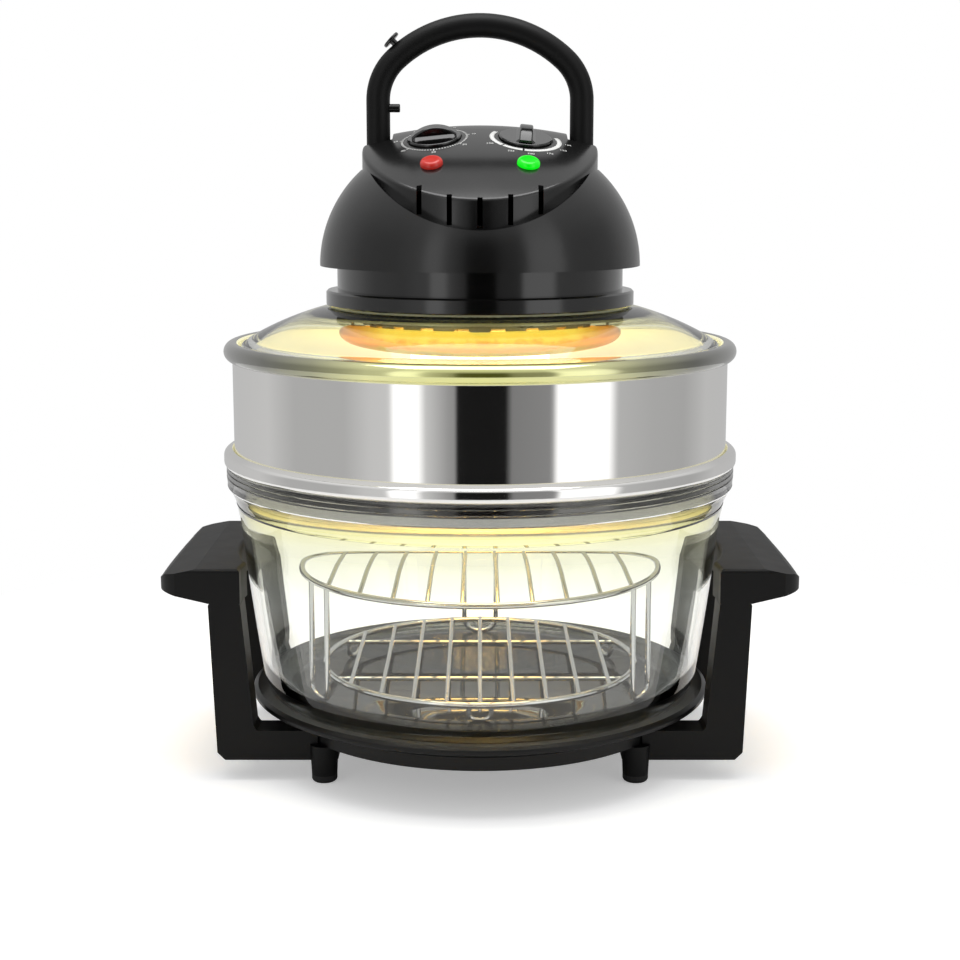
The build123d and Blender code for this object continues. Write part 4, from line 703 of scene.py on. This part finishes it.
def printed_arc(name, side, inner, outer, bands, step=2.0):
    """Printed bands on the face, bent to it: each band is (first, last) angle."""
    vertices, faces = [], []
    for first, last in bands:
        count = max(1, int(abs(last - first) / step))
        for k in range(count + 1):
            angle = first + (last - first) * k / count
            vertices += [dial_point(side, inner, angle), dial_point(side, outer, angle)]
            if k:
                n = len(vertices)
                faces.append((n - 4, n - 3, n - 1, n - 2))
    thing = mesh_object(name, vertices, faces, print_white, "lid")
    thing.modifiers.new("ink", "SOLIDIFY").thickness = INK * MM


def printed_number(text, side, radius, angle):
    """A number beside a dial, upright as seen from the front."""
    data = bpy.data.curves.new(f"number_{'left' if side < 0 else 'right'}_{text}", "FONT")
    data.body, data.size = text, NUMBER_SIZE * MM
    data.align_x, data.align_y = "CENTER", "CENTER"
    data.extrude = NUMBER_HALF_THICKNESS * MM
    thing = in_scene(bpy.data.objects.new(data.name, data))
    point = dial_point(side, radius, angle, lift=0.0)
    point, normal = face_frame(point.x, point.y)
    across = Vector((0, 1, 0)).cross(normal).normalized()
    turn = Matrix((across, normal.cross(across), normal)).transposed()
    thing.matrix_world = Matrix.Translation((point + normal * NUMBER_LIFT) * MM) @ turn.to_4x4()
    data.materials.append(print_white)
    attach(thing, "lid")


def dashes(first, last, count, width):
    """Short bands at even angles."""
    middles = [first + (last - first) * k / (count - 1) for k in range(count)]
    return [(middle - width / 2, middle + width / 2) for middle in middles]


# The timer's scale runs clockwise over the knob's 300 degrees, with 30 minutes at the front
SCALE_END, SCALE_START = -240, 60
MINUTES, TENS = 61, 7
DASH = 2.3
printed_arc("timer_scale_minutes", LEFT, 20.4, 21.8, dashes(SCALE_END, SCALE_START, MINUTES, DASH))
printed_arc("timer_scale_tens", LEFT, 21.8, 22.9, dashes(SCALE_END, SCALE_START, TENS, DASH))
for k in range(TENS):
    printed_number(str(10 * k), LEFT, 25.6, SCALE_START - 50 * k)
# The thermostat's band has two thin breaks at the front; the heat rises clockwise
printed_arc("thermostat_band", RIGHT, 20.4, 23.4, [(150, 226), (229, 264), (267, 385)])
for k, degrees_c in enumerate((250, 225, 200, 175, 150, 125)):
    printed_number(str(degrees_c), RIGHT, 27.4, 222 + 27 * k if k else 212)

# ---- floor -------------------------------------------------------------------------------------

FLOOR_RINGS = (300.0, 600.0, 900.0)
SIDES = 96
floor_points = [
    (r * cos(2 * pi * k / SIDES), r * sin(2 * pi * k / SIDES), 0.0) for r in FLOOR_RINGS for k in range(SIDES)
]
floor_faces = [tuple(range(SIDES))]
for ring_number in range(len(FLOOR_RINGS) - 1):
    for k in range(SIDES):
        a, b = ring_number * SIDES + k, ring_number * SIDES + (k + 1) % SIDES
        floor_faces.append((a, b, b + SIDES, a + SIDES))
floor_mesh = bpy.data.meshes.new("floor")
floor_mesh.from_pydata([[v * MM for v in point] for point in floor_points], [], floor_faces)
floor = in_scene(bpy.data.objects.new("floor", floor_mesh))

WHITE = (1, 1, 1, 1)
FLOOR_GLOW = 0.36  # brings the lit floor up to nearly white
FADE_FROM, FADE_TO = 330, 620  # radii between which the floor fades to white


def seen_directly(tree):
    """1 for what the camera sees, also through glass, but not by way of a reflection."""
    path = add_node(tree, "ShaderNodeLightPath").outputs
    through = maths(tree, "MAXIMUM", path["Is Camera Ray"], path["Is Transmission Ray"])
    unreflected = maths(tree, "LESS_THAN", path["Glossy Depth"], 0.5)
    return maths(tree, "MULTIPLY", through, unreflected)


# Near the object the floor is matt and takes its shadow; further out it fades to the backdrop's white
floor_paint, tree, output = new_material("white_studio_floor")
matt = add_node(tree, "ShaderNodeBsdfDiffuse", inputs={"Color": linear("#EDEDED")}).outputs["BSDF"]
lift = maths(tree, "MULTIPLY", seen_directly(tree), FLOOR_GLOW)
glow = add_node(tree, "ShaderNodeEmission", inputs={"Color": WHITE, "Strength": lift}).outputs["Emission"]
near = add_node(tree, "ShaderNodeAddShader", inputs={0: matt, 1: glow}).outputs["Shader"]
far = add_node(tree, "ShaderNodeEmission", inputs={"Color": WHITE, "Strength": 1.0}).outputs["Emission"]
fade = spread(tree, "radius", [(0.0, 0.0), (1.0, 1.0)], FADE_FROM, FADE_TO)
share = maths(tree, "MULTIPLY", fade, seen_directly(tree))
mixed = add_node(tree, "ShaderNodeMixShader", inputs={0: share, 1: near, 2: far})
finish_shader(tree, output, mixed.outputs["Shader"])
floor_mesh.materials.append(floor_paint)

# ---- room, lamps and camera --------------------------------------------------------------------

# The studio round the object, by compass: 0 degrees is the camera's side, positive is to its right.
# The second number is the brightness there, which the steel ring and the glossy blacks mirror.
STUDIO = [
    (-180, 0.5), (-112, 0.6), (-92, 0.46), (-63, 0.46), (-50, 0.6), (-41, 0.62), (-38, 1.35), (-28, 1.35),
    (-24, 0.62), (-14, 0.34), (-11, 0.3), (-10, 0.01), (12, 0.01), (13.5, 0.22), (32, 0.26), (35, 1.3),
    (59, 1.3), (64, 0.5), (84, 0.44), (105, 0.42), (125, 0.55), (180, 0.5),
]
BRIGHTEST = 1.35
CEILING = (0.6, 0.6, 0.6, 1)
world = bpy.data.worlds.new("studio")
bpy.context.scene.world = world
world.use_nodes = True
tree = world.node_tree
tree.nodes.clear()
output = add_node(tree, "ShaderNodeOutputWorld")
direction = add_node(tree, "ShaderNodeTexCoord").outputs["Generated"]
axes = add_node(tree, "ShaderNodeSeparateXYZ", inputs={"Vector": direction}).outputs
compass = maths(tree, "ARCTAN2", axes["X"], maths(tree, "MULTIPLY", axes["Y"], -1.0))
turns = maths(tree, "MULTIPLY_ADD", compass, 1 / (2 * pi), 0.5)
panels = ramp(tree, turns, [(angle / 360 + 0.5, value / BRIGHTEST) for angle, value in STUDIO])
above = ramp(tree, axes["Z"], [(0.35, 0.0), (0.8, 1.0)])
room = blend(tree, above, panels, CEILING)
studio = add_node(tree, "ShaderNodeBackground", inputs={"Color": room, "Strength": BRIGHTEST})
white = add_node(tree, "ShaderNodeBackground", inputs={"Color": WHITE, "Strength": 1.0})
views = {0: seen_directly(tree), 1: studio.outputs[0], 2: white.outputs[0]}
finish_shader(tree, output, add_node(tree, "ShaderNodeMixShader", inputs=views).outputs[0])


def softbox(name, place, aim, size, power):
    """A large soft lamp."""
    data = bpy.data.lights.new(name, "AREA")
    data.shape = "RECTANGLE"
    data.size, data.size_y = size
    data.energy = power
    lamp = in_scene(bpy.data.objects.new(name, data))
    lamp.location = place
    lamp.rotation_euler = (Vector(aim) - Vector(place)).to_track_quat("-Z", "Y").to_euler()


softbox("lamp_above", place=(0.0, -0.15, 2.0), aim=(0, 0, 0.2), size=(1.6, 1.2), power=22)

# The halogen tube's light on the racks, the glass and the ring's inside
tube_light = bpy.data.lights.new("halogen_light", "POINT")
tube_light.energy = 0.7
tube_light.color = linear("#FFD27A")[:3]
tube_light.shadow_soft_size = 0.05
tube_lamp = in_scene(bpy.data.objects.new("halogen_light", tube_light))
tube_lamp.location = (0.0, 0.0, 0.255)

FOCAL = 1695.0 / 960.0  # focal length over the frame's width
CAMERA_DISTANCE, CAMERA_HEIGHT = 1.131, 0.384
LOOK_DOWN = 10.0
camera_data = bpy.data.cameras.new("camera")
camera_data.sensor_width = 36.0
camera_data.lens = FOCAL * camera_data.sensor_width
camera = in_scene(bpy.data.objects.new("camera", camera_data))
camera.location = (0.0, -CAMERA_DISTANCE, CAMERA_HEIGHT)
camera.rotation_euler = (radians(90.0 - LOOK_DOWN), 0.0, 0.0)
bpy.context.scene.camera = camera
bpy.context.scene.view_settings.view_transform = "Standard"
